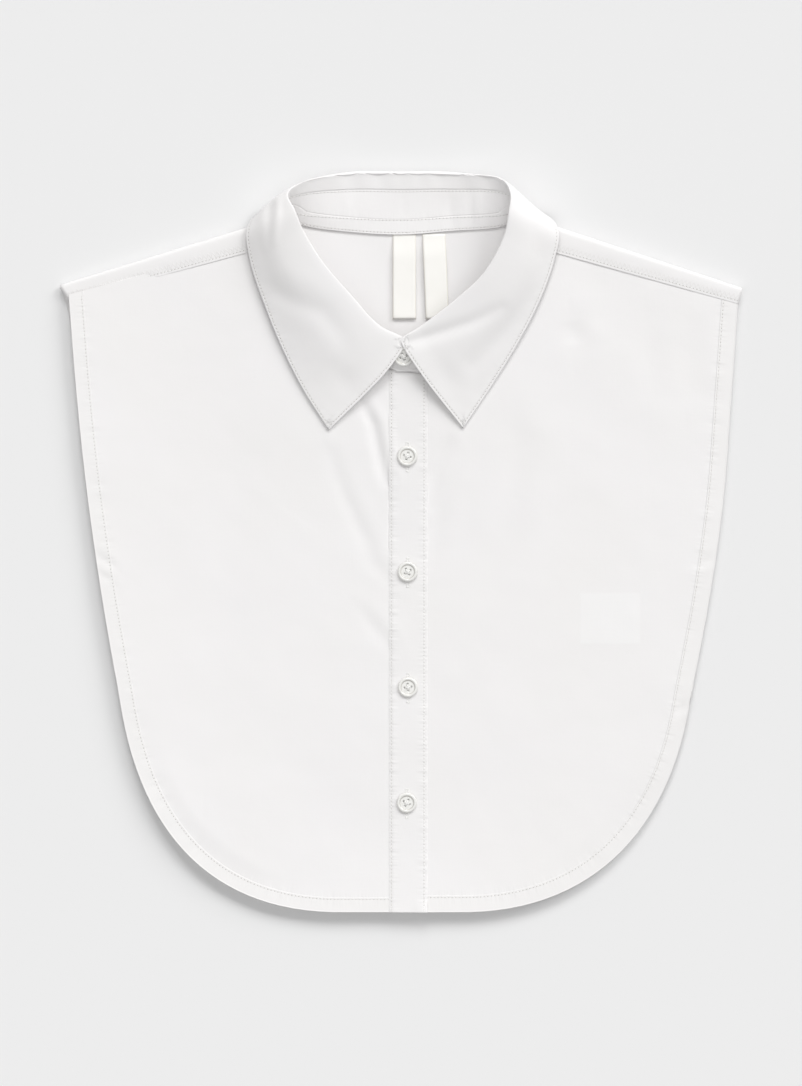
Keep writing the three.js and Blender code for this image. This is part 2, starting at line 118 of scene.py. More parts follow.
# collar sections from the button to the back of the neck: seam, roll, fall and edge, each as shares
# of half the spread and of the depth
leftPlan = [
    (-0.022, 0.227, -0.003, 0.353, -0.072, 0.240, -0.462, 0.001),
    (-0.283, 0.307, -0.150, 0.404, -0.300, 0.270, -0.622, 0.153),
    (-0.479, 0.438, -0.330, 0.521, -0.511, 0.403, -0.767, 0.327),
    (-0.641, 0.575, -0.497, 0.637, -0.672, 0.547, -0.884, 0.504),
    (-0.739, 0.707, -0.622, 0.757, -0.794, 0.683, -0.959, 0.643),
    (-0.761, 0.780, -0.678, 0.837, -0.856, 0.793, -0.984, 0.760),
    (-0.728, 0.820, -0.722, 0.902, -0.862, 0.852, -0.939, 0.815),
    (-0.633, 0.790, -0.615, 0.950, -0.640, 0.942, -0.740, 0.845),
    (-0.322, 0.763, -0.333, 0.981, -0.333, 0.988, -0.344, 0.837),
    (0.000, 0.753, 0.000, 0.984, 0.000, 0.990, 0.000, 0.830),
]
rightPlan = [
    (0.044, 0.227, 0.024, 0.354, 0.133, 0.213, 0.397, 0.009),
    (0.289, 0.307, 0.161, 0.411, 0.328, 0.267, 0.570, 0.163),
    (0.511, 0.430, 0.362, 0.504, 0.539, 0.393, 0.744, 0.333),
    (0.672, 0.557, 0.533, 0.602, 0.706, 0.527, 0.878, 0.490),
    (0.767, 0.700, 0.656, 0.737, 0.822, 0.673, 0.967, 0.635),
    (0.789, 0.783, 0.689, 0.837, 0.872, 0.793, 1.004, 0.757),
    (0.750, 0.823, 0.698, 0.903, 0.838, 0.852, 0.950, 0.815),
    (0.661, 0.787, 0.640, 0.960, 0.668, 0.945, 0.750, 0.848),
    (0.322, 0.767, 0.322, 0.981, 0.322, 0.988, 0.333, 0.837),
]
# heights of the same sections: what the seam lies on, then roll, fall and edge as shares of the rise
heightRows = [
    (0, 0.21, 0.36, -0.13), (0, 0.38, 0.33, -0.11), (0, 0.58, 0.46, -0.05), (0, 0.78, 0.64, 0.00),
    (1, 0.92, 0.74, 0.00), (1, 1.00, 0.70, 0.02), (-0.4, 0.78, 0.24, 0.30), (-1, 0.28, -0.15, 0.05),
    (-1, -0.18, -0.42, 0.01), (-1, -0.24, -0.46, 0.00),
]
# soft folds in the front: the line that each follows, how deep and how wide it is
softFolds = [
    dict(line=[(-22, 293), (-16, 280), (-11, 256), (-8.6, 246)], depth=1.3, width=3.2),
    dict(line=[(-41, 264), (-33, 240), (-20, 213), (-16.7, 201), (-6.3, 190)], depth=0.5, width=4.6),
    dict(line=[(-23, 174), (-14, 162), (-6, 150)], depth=0.45, width=4.0),
    dict(line=[(-72, 262), (-94, 249), (-104, 170), (-110, 93)], depth=0.45, width=16.0),
    dict(line=[(62, 284), (67, 269), (60, 216), (33, 152)], depth=0.5, width=9.0),
    dict(line=[(27, 270), (20, 252), (15.5, 234)], depth=0.8, width=4.0),
    dict(line=[(30, 262), (21, 226), (17, 200)], depth=0.5, width=5.0),
    dict(line=[(99, 340), (100, 326)], depth=0.7, width=7.0),
    dict(line=[(142, 338), (143, 300)], depth=0.35, width=9.0),
    dict(line=[(166, 336), (165, 300)], depth=0.35, width=8.0),
    dict(line=[(-176, 206), (-164, 198)], depth=0.3, width=2.8),
    dict(line=[(-174, 195), (-166, 190)], depth=0.25, width=2.4),
    dict(line=[(180, 204), (169, 199)], depth=0.3, width=2.8),
    dict(line=[(164, 120), (158, 114)], depth=0.6, width=3.0),
]
# across a fold: the hollow and the low bank beside it, in widths of the fold; then how it fades at its ends
foldShape = dict(reach=3.2, bank=0.45, bankAt=1.7, bankWidth=1.1, fadeStart=0.12, fade=0.76)
for fold in softFolds:
    fold["line"] = [Vector(p) for p in fold["line"]]
    margin = foldShape["reach"] * fold["width"]
    fold["low"] = (min(p.x for p in fold["line"]) - margin, min(p.y for p in fold["line"]) - margin)
    fold["high"] = (max(p.x for p in fold["line"]) + margin, max(p.y for p in fold["line"]) + margin)

tipsY = garment["placketLength"] - leftPlan[0][1] * garment["neckDepth"]
neckCentreY = tipsY + garment["neckMiddle"] * garment["neckDepth"]
neckRadius = garment["neckReach"] * garment["neckSpread"]
stripLevel = garment["hemLevel"] + garment["bodyLoft"] + garment["neckLoft"] + garment["layer"]
collarLevel = stripLevel + garment["layer"]


def nearestOn(line, here):        # how far off the line, on which side and how far along it
    best = (1e9, 0, 0)
    for i in range(len(line) - 1):
        step = line[i + 1] - line[i]
        t = clamp((here - line[i]).dot(step) / step.length_squared, 0, 1)
        off = here - line[i] - step * t
        side = 1 if step.x * off.y - step.y * off.x > 0 else -1
        if off.length < best[0]:
            best = (off.length, side, (i + t) / (len(line) - 1))
    return best


def foldDrop(x, y):
    shape = foldShape
    drop = 0
    for fold in softFolds:
        if not (fold["low"][0] < x < fold["high"][0] and fold["low"][1] < y < fold["high"][1]):
            continue
        distance, side, along = nearestOn(fold["line"], Vector((x, y)))
        away = distance * side / fold["width"]
        hollow = math.exp(-away * away)
        hollow -= shape["bank"] * math.exp(-((away - shape["bankAt"]) / shape["bankWidth"]) ** 2)
        drop += fold["depth"] * hollow * math.sin(math.pi * (shape["fadeStart"] + shape["fade"] * along))
    return drop


def crinkle(x, y, seed, size):        # a small unevenness of the cloth, about -1 to 1
    return fieldNoise.noise(Vector((x / size, y / size, seed)))


panelLook = dict(neckFall=0.8, sag=0.3, sagSize=38, ruffle=0.09, ruffleSize=13)


def panelHeight(x, y):        # the middle of the front panel's cloth above the table
    reach = abs(x) / (garment["width"] / 2)
    rise = max(smooth(0, garment["cornerRise"], y) * (1 - reach ** 6), 0)
    fromNeck = math.hypot(x, y - neckCentreY) / neckRadius
    lift = 1 if fromNeck < 1 else math.exp(-(((fromNeck - 1) / panelLook["neckFall"]) ** 2))
    height = garment["hemLevel"] + garment["bodyLoft"] * rise + garment["neckLoft"] * lift
    height += (panelLook["sag"] * crinkle(x, y, 3.1, panelLook["sagSize"])
               + panelLook["ruffle"] * crinkle(x, y, 7.7, panelLook["ruffleSize"]))
    return height - foldDrop(x, y) * smooth(0.85, 1.1, fromNeck)


curlLook = dict(lift=1.3, reach=36, share=1.2, slant=0.9, foot=1.2, footTop=110, footEnds=(150, 40), most=2.4)


def hemCurl(x, y, distance):        # the hem lifts more at the foot and on the left than on the right
    look = curlLook
    foot = look["foot"] * smooth(look["footTop"], 0, y) * smooth(*look["footEnds"], x)
    share = clamp(look["share"] - look["slant"] * x / (garment["width"] / 2) + foot, 0, look["most"])
    return look["lift"] * share * math.exp(-distance / look["reach"])


def sectionsOf(plan, side):
    sections = []
    for i, row in enumerate(plan):
        points = []
        for k in range(4):
            across = row[2 * k] * garment["neckSpread"] / 2
            points.append(Vector((across, tipsY + row[2 * k + 1] * garment["neckDepth"], 0)))
        seamOn, roll, fall, edge = heightRows[i]
        onPanel = panelHeight(points[0].x, points[0].y)
        onStrip = onPanel + garment["layer"]
        if seamOn >= 0:
            points[0].z = onPanel + (onStrip - onPanel) * seamOn
        else:
            points[0].z = onStrip + (garment["backLevel"] - onStrip) * -seamOn
        if i == 0 and side == "left":
            points[0].z += garment["layer"]
        points[1].z = collarLevel + roll * garment["collarRise"]
        points[2].z = collarLevel + fall * garment["collarRise"]
        edgeLevel = collarLevel if i < garment["frontSections"] else garment["backEdge"]
        points[3].z = edgeLevel + edge * garment["collarRise"]
        sections.append(points)
    return sections


ring = sectionsOf(leftPlan, "left") + sectionsOf(rightPlan, "right")[::-1]
lastSection = len(ring) - 1
rails = {name: [section[i] for section in ring] for i, name in enumerate(("seam", "roll", "fall", "edge"))}


def railPoint(name, station):
    p = splineAt(rails[name], station / lastSection)
    return Vector((p.x, p.y, max(p.z, garment["backLevel"])))


def stationFrom(side, s):        # the same section counted from the left or the right front
    return s if side < 0 else lastSection - s


def necklineAt(station, gap):        # the seam, moved away from the stand by the gap
    seam = railPoint("seam", station)
    away = (railPoint("roll", station) - seam).to_2d().normalized()
    return Vector((seam.x - away.x * gap, seam.y - away.y * gap, seam.z))


# the bib's outline
outlineLook = dict(
    leftDrop=38.9, rightDrop=41.1, stripAtArm=9, allowance=3.5, foldSection=5.85, seamSection=4.2,
    leftCorner=0.824, rightCorner=0.848, neckGap=1.2, foldOut=2.1,
    roundStart=0.18, roundPull=0.56, roundIn=0.93, roundRise=0.38,
)
sideRows = [(0.978, 0.974, 0.989), (0.817, 0.950, 0.968), (0.658, 0.918, 0.945), (0.497, 0.875, 0.903)]


def bibSide(side):
    column = 1 if side < 0 else 2
    drop = outlineLook["leftDrop" if side < 0 else "rightDrop"]
    half = garment["width"] / 2
    foldNeck = railPoint("seam", stationFrom(side, outlineLook["foldSection"])).to_2d().to_3d()
    foldNeck.x += side * (outlineLook["neckGap"] + outlineLook["foldOut"])
    seamStation = stationFrom(side, outlineLook["seamSection"])
    seamNeck = necklineAt(seamStation, outlineLook["neckGap"]).to_2d().to_3d()
    corner = Vector((side * half, foldNeck.y - drop, 0))
    cornerX = side * half * outlineLook["leftCorner" if side < 0 else "rightCorner"]
    straight = [Vector((cornerX, garment["cornerRise"], 0))]
    straight += [Vector((side * half * row[column], row[0] * corner.y, 0)) for row in reversed(sideRows)]
    round = (
        Vector((side * half * outlineLook["roundStart"], 0, 0)),
        Vector((side * half * outlineLook["roundPull"], 0, 0)),
        Vector((cornerX * outlineLook["roundIn"], garment["cornerRise"] * outlineLook["roundRise"], 0)),
        Vector((cornerX, garment["cornerRise"], 0)),
    )
    seamArm = splineAt(straight, 1)
    seamArm.y = corner.y - outlineLook["stripAtArm"]
    return dict(side=side, corner=corner, foldNeck=foldNeck, seamNeck=seamNeck, seamArm=seamArm,
                straight=straight, round=round)


bibSides = [bibSide(-1), bibSide(1)]


def coonsPoints(bottom, top, left, right, columnShares, rowShares):
    low, high = [bottom(u) for u in columnShares], [top(u) for u in columnShares]
    west, east = [left(v) for v in rowShares], [right(v) for v in rowShares]
    points = []
    for r, v in enumerate(rowShares):
        line = []
        for c, u in enumerate(columnShares):
            p = low[c] * (1 - v) + high[c] * v + west[r] * (1 - u) + east[r] * u
            p -= low[0] * ((1 - u) * (1 - v)) + low[-1] * (u * (1 - v))
            p -= high[0] * ((1 - u) * v) + high[-1] * (u * v)
            line.append(p)
        points.append(line)
    return points


def borderTree(lines):        # dense points on the lines, each with its length along them
    marks = []
    along = 0
    for line in lines:
        for a, b in zip(line, line[1:]):
            count = max(int((b - a).length / 0.5), 1)
            marks += [(a.lerp(b, i / count), along + (b - a).length * i / count) for i in range(count)]
            along += (b - a).length
        marks.append((line[-1], along))
        along += 40
    tree = kdtree.KDTree(len(marks))
    for i, (p, _) in enumerate(marks):
        tree.insert(p, i)
    tree.balance()
    return tree, [mark[1] for mark in marks]


def clothGrid(points, flat=None, borders=None):        # rows of places, and the same places on the flat cut
    rows, columns = len(points) - 1, len(points[0]) - 1
    mesh = bmesh.new()
    bmesh.ops.create_grid(mesh, x_segments=columns, y_segments=rows, size=0.5)
    uv = mesh.loops.layers.uv.new("UVMap")
    edgeLayer = mesh.verts.layers.float.new("edge")
    alongLayer = mesh.verts.layers.float.new("along")
    tree, lengths = borders if borders else (None, None)
    cut = {}
    for vertex in mesh.verts:
        c = round((vertex.co.x + 0.5) * columns)
        r = round((vertex.co.y + 0.5) * rows)
        p = points[r][c]
        q = flat[r][c] if flat else p
        cut[vertex] = (q[0] * mm, q[1] * mm)
        if tree:
            nearest, i, distance = tree.find(p)
            vertex[edgeLayer] = distance
            vertex[alongLayer] = lengths[i]
        else:
            vertex[edgeLayer] = 50
        vertex.co = toScene(p)
    for face in mesh.faces:
        face.smooth = True
        for loop in face.loops:
            loop[uv].uv = cut[loop.vert]
    return mesh


def joinMeshes(parts, weld=0.0):
    whole = bmesh.new()
    for part in parts:
        data = bpy.data.meshes.new("part")
        part.to_mesh(data)
        part.free()
        whole.from_mesh(data)
        bpy.data.meshes.remove(data)
    if weld:
        bmesh.ops.remove_doubles(whole, verts=whole.verts, dist=weld * mm)
    return whole


def addObject(name, mesh, material, nodes=()):
    data = bpy.data.meshes.new(name)
    mesh.to_mesh(data)
    mesh.free()
    data.materials.append(material)
    piece = bpy.data.objects.new(name, data)
    bpy.context.scene.collection.objects.link(piece)
    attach(piece, "root")
    if nodes:
        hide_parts(*nodes)
    return piece


trees = {}        # each cloth's surface and wall, for what is sewn on it
highAbove = 60        # a height that no piece reaches


def dropOn(cloth, x, y):        # the cloth straight under a place high above it
    return trees[cloth][0].ray_cast(toScene(Vector((x, y, highAbove))), Vector((0, 0, -1)))


def addCloth(name, mesh, wall, material, nodes=()):
    bmesh.ops.recalc_face_normals(mesh, faces=mesh.faces)
    trees[name] = (BVHTree.FromBMesh(mesh), wall * mm)
    piece = addObject(name, mesh, material, nodes)
    solid = piece.modifiers.new("wall", "SOLIDIFY")
    solid.thickness = wall * mm
    solid.offset = 0
    solid.use_rim = True
    return piece


# materials
def wire(tree, value, socket):
    if isinstance(value, bpy.types.NodeSocket):
        tree.links.new(value, socket)
    else:
        socket.default_value = value


def calc(tree, operation, first, second=0.0, third=0.0):
    node = tree.nodes.new("ShaderNodeMath")
    node.operation = operation
    for socket, value in zip(node.inputs, (first, second, third)):
        wire(tree, value, socket)
    return node.outputs[0]


def attributeOf(tree, name):
    node = tree.nodes.new("ShaderNodeAttribute")
    node.attribute_name = name
    return node.outputs["Fac"]


def noiseAt(tree, place, scale, detail=2.0, roughness=0.5, dimensions="3D"):
    node = tree.nodes.new("ShaderNodeTexNoise")
    node.noise_dimensions = dimensions
    if dimensions == "1D":
        wire(tree, place, node.inputs["W"])
    else:
        wire(tree, place, node.inputs["Vector"])
    node.inputs["Scale"].default_value = scale
    node.inputs["Detail"].default_value = detail
    node.inputs["Roughness"].default_value = roughness
    return node.outputs["Fac"]


def stepAt(tree, value, low, high):        # 0 below low, 1 above high
    node = tree.nodes.new("ShaderNodeMapRange")
    node.interpolation_type = "SMOOTHSTEP"
    wire(tree, value, node.inputs["Value"])
    node.inputs["From Min"].default_value = low
    node.inputs["From Max"].default_value = high
    return node.outputs["Result"]


def bellAt(tree, value, centre, width):        # a bell curve round the centre
    off = calc(tree, "DIVIDE", calc(tree, "SUBTRACT", value, centre), width)
    return calc(tree, "EXPONENT", calc(tree, "MULTIPLY", calc(tree, "MULTIPLY", off, off), -1.0))


def mixColours(tree, share, first, second):
    node = tree.nodes.new("ShaderNodeMix")
    node.data_type = "RGBA"
    wire(tree, share, node.inputs[0])
    wire(tree, first, node.inputs[6])
    wire(tree, second, node.inputs[7])
    return node.outputs[2]


def flatCut(tree):        # the place on the flat cut, whole and as its two sides
    cut = tree.nodes.new("ShaderNodeUVMap")
    cut.uv_map = "UVMap"
    sides = tree.nodes.new("ShaderNodeSeparateXYZ")
    tree.links.new(cut.outputs["UV"], sides.inputs[0])
    return cut.outputs["UV"], sides.outputs["X"], sides.outputs["Y"]


def dress(tree, shader, colour, height, distance=mm):        # the colour and the bump go to the shader
    bump = tree.nodes.new("ShaderNodeBump")
    bump.inputs["Distance"].default_value = distance
    bump.inputs["Strength"].default_value = 1.0
    tree.links.new(height, bump.inputs["Height"])
    tree.links.new(bump.outputs["Normal"], shader.inputs["Normal"])
    tree.links.new(colour, shader.inputs["Base Color"])


def newMaterial(name, **sockets):
    material = bpy.data.materials.new(name)
    material.use_nodes = True
    shader = material.node_tree.nodes["Principled BSDF"]
    for socket, value in sockets.items():
        shader.inputs[socket.replace("_", " ")].default_value = value
    return material, material.node_tree, shader


# white cotton poplin; the seam values are distances from the piece's edge in millimetres
poplinLook = dict(
    # shade is painted shade along the stitch rows and also the tone of the seam thread seen through the strip
    clean=(0.889, 0.876, 0.882, 1), warm=(0.876, 0.864, 0.852, 1), shade=(0.72, 0.70, 0.67, 1),
    thread=0.5, weftShare=0.8, weaveDepth=0.004, slubs=((900, 60, 1), (60, 900, 1)), slubDepth=0.012,
    crinkleDepth=0.10, roughness=0.82, sheen=0.10, rowWidth=0.38, swellWidth=3.2, swell=2.4,
    hemTint=0.5, rowShade=0.06, overlockTint=0.22, patchTint=0.4, patchColour=(0.92, 0.92, 0.915, 1), fade=2,
)


def poplin(name, hem=0.0, rows=(), ridge=0.20, groove=0.07, pucker=0.14, overlock=None, patch=None,
           tone=1.0):
    # tone scales the whole colour: below 1 it paints shade into a piece, above 1 it paints light
    clean, warm = [[c * tone for c in poplinLook[shade][:3]] + [1] for shade in ("clean", "warm")]
    material, tree, shader = newMaterial(
        name, Roughness=poplinLook["roughness"], Specular_IOR_Level=0.22,
        Sheen_Weight=poplinLook["sheen"], Sheen_Roughness=0.5)
    place = tree.nodes.new("ShaderNodeTexCoord").outputs["Object"]
    cut, cutX, cutY = flatCut(tree)
    turns = 2 * math.pi / (poplinLook["thread"] * mm)
    warp = calc(tree, "SINE", calc(tree, "MULTIPLY", cutX, turns))
    weft = calc(tree, "SINE", calc(tree, "MULTIPLY", cutY, turns * poplinLook["weftShare"]))
    height = calc(tree, "MULTIPLY", calc(tree, "MULTIPLY", warp, weft), poplinLook["weaveDepth"])
    for stretch in poplinLook["slubs"]:        # thicker threads here and there, both ways
        mapping = tree.nodes.new("ShaderNodeMapping")
        mapping.inputs["Scale"].default_value = stretch
        tree.links.new(cut, mapping.inputs["Vector"])
        slub = noiseAt(tree, mapping.outputs["Vector"], 1.0, 1.0)
        height = calc(tree, "MULTIPLY_ADD", slub, poplinLook["slubDepth"], height)
    height = calc(tree, "MULTIPLY_ADD", noiseAt(tree, place, 70, 3, 0.6), poplinLook["crinkleDepth"], height)
    colour = mixColours(tree, noiseAt(tree, place, 14, 2), clean, warm)
    edge, along = attributeOf(tree, "edge"), attributeOf(tree, "along")
    if hem:
        inside = stepAt(tree, edge, hem - 0.25, hem + 0.25)
        height = calc(tree, "MULTIPLY_ADD", inside, -ridge, height)
        height = calc(tree, "MULTIPLY_ADD", bellAt(tree, edge, 0.35, 0.35), 0.10, height)
        tint = calc(tree, "MULTIPLY", calc(tree, "SUBTRACT", 1.0, inside), poplinLook["hemTint"])
        colour = mixColours(tree, tint, colour, poplinLook["warm"])
    wave = calc(tree, "SUBTRACT", noiseAt(tree, along, 0.21, 2, 0.6, "1D"), 0.5)
    for row in rows:
        dip = bellAt(tree, edge, row, poplinLook["rowWidth"])
        height = calc(tree, "MULTIPLY_ADD", dip, -groove, height)
        swell = calc(tree, "MULTIPLY", wave, bellAt(tree, edge, row, poplinLook["swellWidth"]))
        height = calc(tree, "MULTIPLY_ADD", swell, poplinLook["swell"] * pucker, height)
        # darker along the row: painted shade in the stitch groove
        tint = calc(tree, "MULTIPLY", dip, poplinLook["rowShade"])
        colour = mixColours(tree, tint, colour, poplinLook["shade"])
    if overlock:        # zigzag thread of the seam allowance, seen through the strip
        low, high, pitch = overlock
        swing = calc(tree, "PINGPONG", along, pitch / 2)
        line = calc(tree, "MULTIPLY_ADD", swing, (high - low) / (pitch / 2), low)
        thread = calc(tree, "ABSOLUTE", calc(tree, "SUBTRACT", edge, line))
        shows = calc(tree, "SUBTRACT", 1.0, stepAt(tree, thread, 0.15, 0.7))
        tint = calc(tree, "MULTIPLY", shows, poplinLook["overlockTint"])
        colour = mixColours(tree, tint, colour, poplinLook["shade"])
        height = calc(tree, "MULTIPLY_ADD", shows, 0.05, height)
    if patch:        # a care label behind the cloth: left, right, bottom and top edges
        axes = tree.nodes.new("ShaderNodeSeparateXYZ")
        tree.links.new(place, axes.inputs[0])
        fade = poplinLook["fade"] * mm
        left, right, bottom, top = [x * mm for x in patch]
        shows = stepAt(tree, axes.outputs["X"], left, left + fade)
        for axis, border, step in (("X", right, -fade), ("Y", bottom, fade), ("Y", top, -fade)):
            shows = calc(tree, "MULTIPLY", shows, stepAt(tree, axes.outputs[axis], border, border + step))
        tint = calc(tree, "MULTIPLY", shows, poplinLook["patchTint"])
        colour = mixColours(tree, tint, colour, poplinLook["patchColour"])
        height = calc(tree, "MULTIPLY_ADD", shows, 0.03, height)
    dress(tree, shader, colour, height)
    return material


def satin(name):        # woven ribbon with a fine rib across and a soft gloss
    material, tree, shader = newMaterial(
        name, Roughness=0.42, Specular_IOR_Level=0.4, Sheen_Weight=0.2, Anisotropic=0.3)
    cut, cutX, cutY = flatCut(tree)
    rib = calc(tree, "SINE", calc(tree, "MULTIPLY", cutY, 2 * math.pi / (0.45 * mm)))
    place = tree.nodes.new("ShaderNodeTexCoord").outputs["Object"]
    height = calc(tree, "MULTIPLY", rib, 0.006)
    height = calc(tree, "MULTIPLY_ADD", noiseAt(tree, place, 160, 2), 0.06, height)
    selvage = calc(tree, "SUBTRACT", 1.0, stepAt(tree, attributeOf(tree, "edge"), 0.5, 0.8))
    height = calc(tree, "MULTIPLY_ADD", selvage, 0.08, height)
    body = mixColours(tree, noiseAt(tree, place, 40), (0.945, 0.935, 0.90, 1), (0.925, 0.91, 0.87, 1))
    colour = mixColours(tree, calc(tree, "MULTIPLY", selvage, 0.5), body, (0.85, 0.81, 0.73, 1))
    dress(tree, shader, colour, height)
    return material


def sewingThread(name, light, dark):
    material, tree, shader = newMaterial(name, Roughness=0.6, Specular_IOR_Level=0.35, Sheen_Weight=0.3)
    place = tree.nodes.new("ShaderNodeTexCoord").outputs["Object"]
    colour = mixColours(tree, noiseAt(tree, place, 900), light, dark)
    dress(tree, shader, colour, noiseAt(tree, place, 4000), 0.05 * mm)
    return material


def buttonResin(name, light, dark):
    material, tree, shader = newMaterial(
        name, Roughness=0.18, Specular_IOR_Level=0.5, Coat_Weight=0.3, Coat_Roughness=0.1)
    place = tree.nodes.new("ShaderNodeTexCoord").outputs["Object"]
    cloud = noiseAt(tree, place, 260, 3)
    colour = mixColours(tree, cloud, light, dark)
    tree.links.new(colour, shader.inputs["Base Color"])
    gloss = calc(tree, "MULTIPLY_ADD", noiseAt(tree, place, 700), 0.12, 0.12)
    tree.links.new(gloss, shader.inputs["Roughness"])
    return material


threadMaterial = sewingThread("white_thread", (0.93, 0.925, 0.91, 1), (0.87, 0.865, 0.84, 1))
# needle holes: dark dots of painted shade between the stitches, the deep ones darker still
holeShadeMaterial = sewingThread("needle_hole_shade", (0.46, 0.45, 0.42, 1), (0.56, 0.54, 0.51, 1))
deepHoleShadeMaterial = sewingThread("deep_needle_hole_shade", (0.34, 0.33, 0.31, 1), (0.45, 0.43, 0.40, 1))
print("shape of the garment and materials: ready")

# front panels
frontLook = dict(
    columns=118, rows=214, wall=0.4, underlap=1.4, neckShare=0.4, leftHem=8.5, rightHem=9.6,
    leftStitch=7.4, rightStitch=8.5, hemWave=0.16, hemFall=0.9, footShare=0.06, armShare=0.04,
    cornerY=52, cornerReach=42, cornerFrom=50, cornerTo=90, rightFall=0.6, lapStart=0.13,
)
frontOutlines = {}


def frontPanel(side):
    outline = bibSides[0 if side < 0 else 1]
    inner = garment["placketCentre"] - garment["placketWidth"] / 2 + frontLook["underlap"]
    firstRow, lastRow = (frontLook["lapStart"] if side < 0 else 0.0), outlineLook["seamSection"] - 0.1

    def flatNeck(row):
        return necklineAt(stationFrom(side, row), -1.0).to_2d().to_3d()

    first = flatNeck(firstRow)
    start = Vector((inner, first.y, 0))
    level = abs(first.x - start.x) / ((first - flatNeck(lastRow)).length * 1.1)
    armEnd = outline["seamArm"] + Vector((0, outlineLook["allowance"], 0))
    neckEnd = outline["seamNeck"]
    share = frontLook["neckShare"]

    def top(u):
        if u < share:
            t = u / share
            if t < level:
                return start.lerp(first, t / level)
            return flatNeck(firstRow + (lastRow - firstRow) * (t - level) / (1 - level))
        t = (u - share) / (1 - share)
        p = neckEnd.lerp(armEnd, t)
        p.y += outlineLook["allowance"] * smooth(0, 0.1, t) * (1 - t)
        return p

    def bottom(u):
        foot = frontLook["footShare"]
        hem = bezierAt(*outline["round"], max(u - foot, 0) / (1 - foot))
        return Vector((inner, 0, 0)).lerp(hem, u / foot) if u < foot else hem

    def outer(v):
        arm = frontLook["armShare"]
        if v > 1 - arm:
            return splineAt(outline["straight"], 1).lerp(armEnd, (v - (1 - arm)) / arm)
        return splineAt(outline["straight"], v / (1 - arm))

    columnShares = evenShares(frontLook["columns"], 0.002, 0.002)
    rowShares = evenShares(frontLook["rows"], 0.001, 0.001)
    points = coonsPoints(bottom, top, lambda v: Vector((inner, 0, 0)).lerp(start, v), outer,
                         columnShares, rowShares)
    hemLine = [bottom(i / 160) for i in range(161)] + [outer(i / 110) for i in range(1, 111)]
    frontOutlines[side] = hemLine
    flat = [[(p.x, p.y) for p in line] for line in points]
    borders = borderTree([hemLine])
    stitchIn = frontLook["leftStitch" if side < 0 else "rightStitch"]
    for line in points:
        for p in line:
            nearest, i, distance = borders[0].find(p)
            along = borders[1][i]
            wave = crinkle(along, side * 9, 1.3, 6.5) * math.exp(-((distance - stitchIn) / 5) ** 2)
            p.z = panelHeight(p.x, p.y) + frontLook["hemWave"] * wave + hemCurl(p.x, p.y, distance)
            corner = math.exp(-((p.y - frontLook["cornerY"]) / frontLook["cornerReach"]) ** 2)
            corner *= smooth(frontLook["cornerFrom"], frontLook["cornerTo"], abs(p.x))
            corner *= 1 if side < 0 else frontLook["rightFall"]
            p.z += frontLook["hemFall"] * corner * (smooth(stitchIn - 1, stitchIn + 12, distance) - 0.3)
    mesh = clothGrid(points, flat)
    edgeLayer, alongLayer = mesh.verts.layers.float["edge"], mesh.verts.layers.float["along"]
    for vertex in mesh.verts:
        p = Vector((vertex.co.x / mm, (vertex.co.y - hemY) / mm, 0))
        nearest, i, vertex[edgeLayer] = borders[0].find(p)
        vertex[alongLayer] = borders[1][i]
    return mesh


frontLeft = addCloth(
    "frontPanelLeft", frontPanel(-1), frontLook["wall"],
    poplin("poplin_left", hem=frontLook["leftHem"], rows=(frontLook["leftStitch"],)),
    nodes=("front_panel_left",))
frontRight = addCloth(
    "frontPanelRight", frontPanel(1), frontLook["wall"],
    poplin("poplin_right", hem=frontLook["rightHem"], rows=(frontLook["rightStitch"],),
           patch=(102, 138, -60, -29)),
    nodes=("front_panel_right",))
print("front panels: ready")

# back panel: a flat bib that turns over the shoulder and lies on the front as a strip
backLook = dict(shoulderColumns=56, neckColumns=36, rows=90, wall=0.4, inset=1.5, overFront=0.55, stitch=1.6,
                arcSteps=8, stripRows=10, lift=0.25, liftSize=42, puff=0.25, puffSize=9)


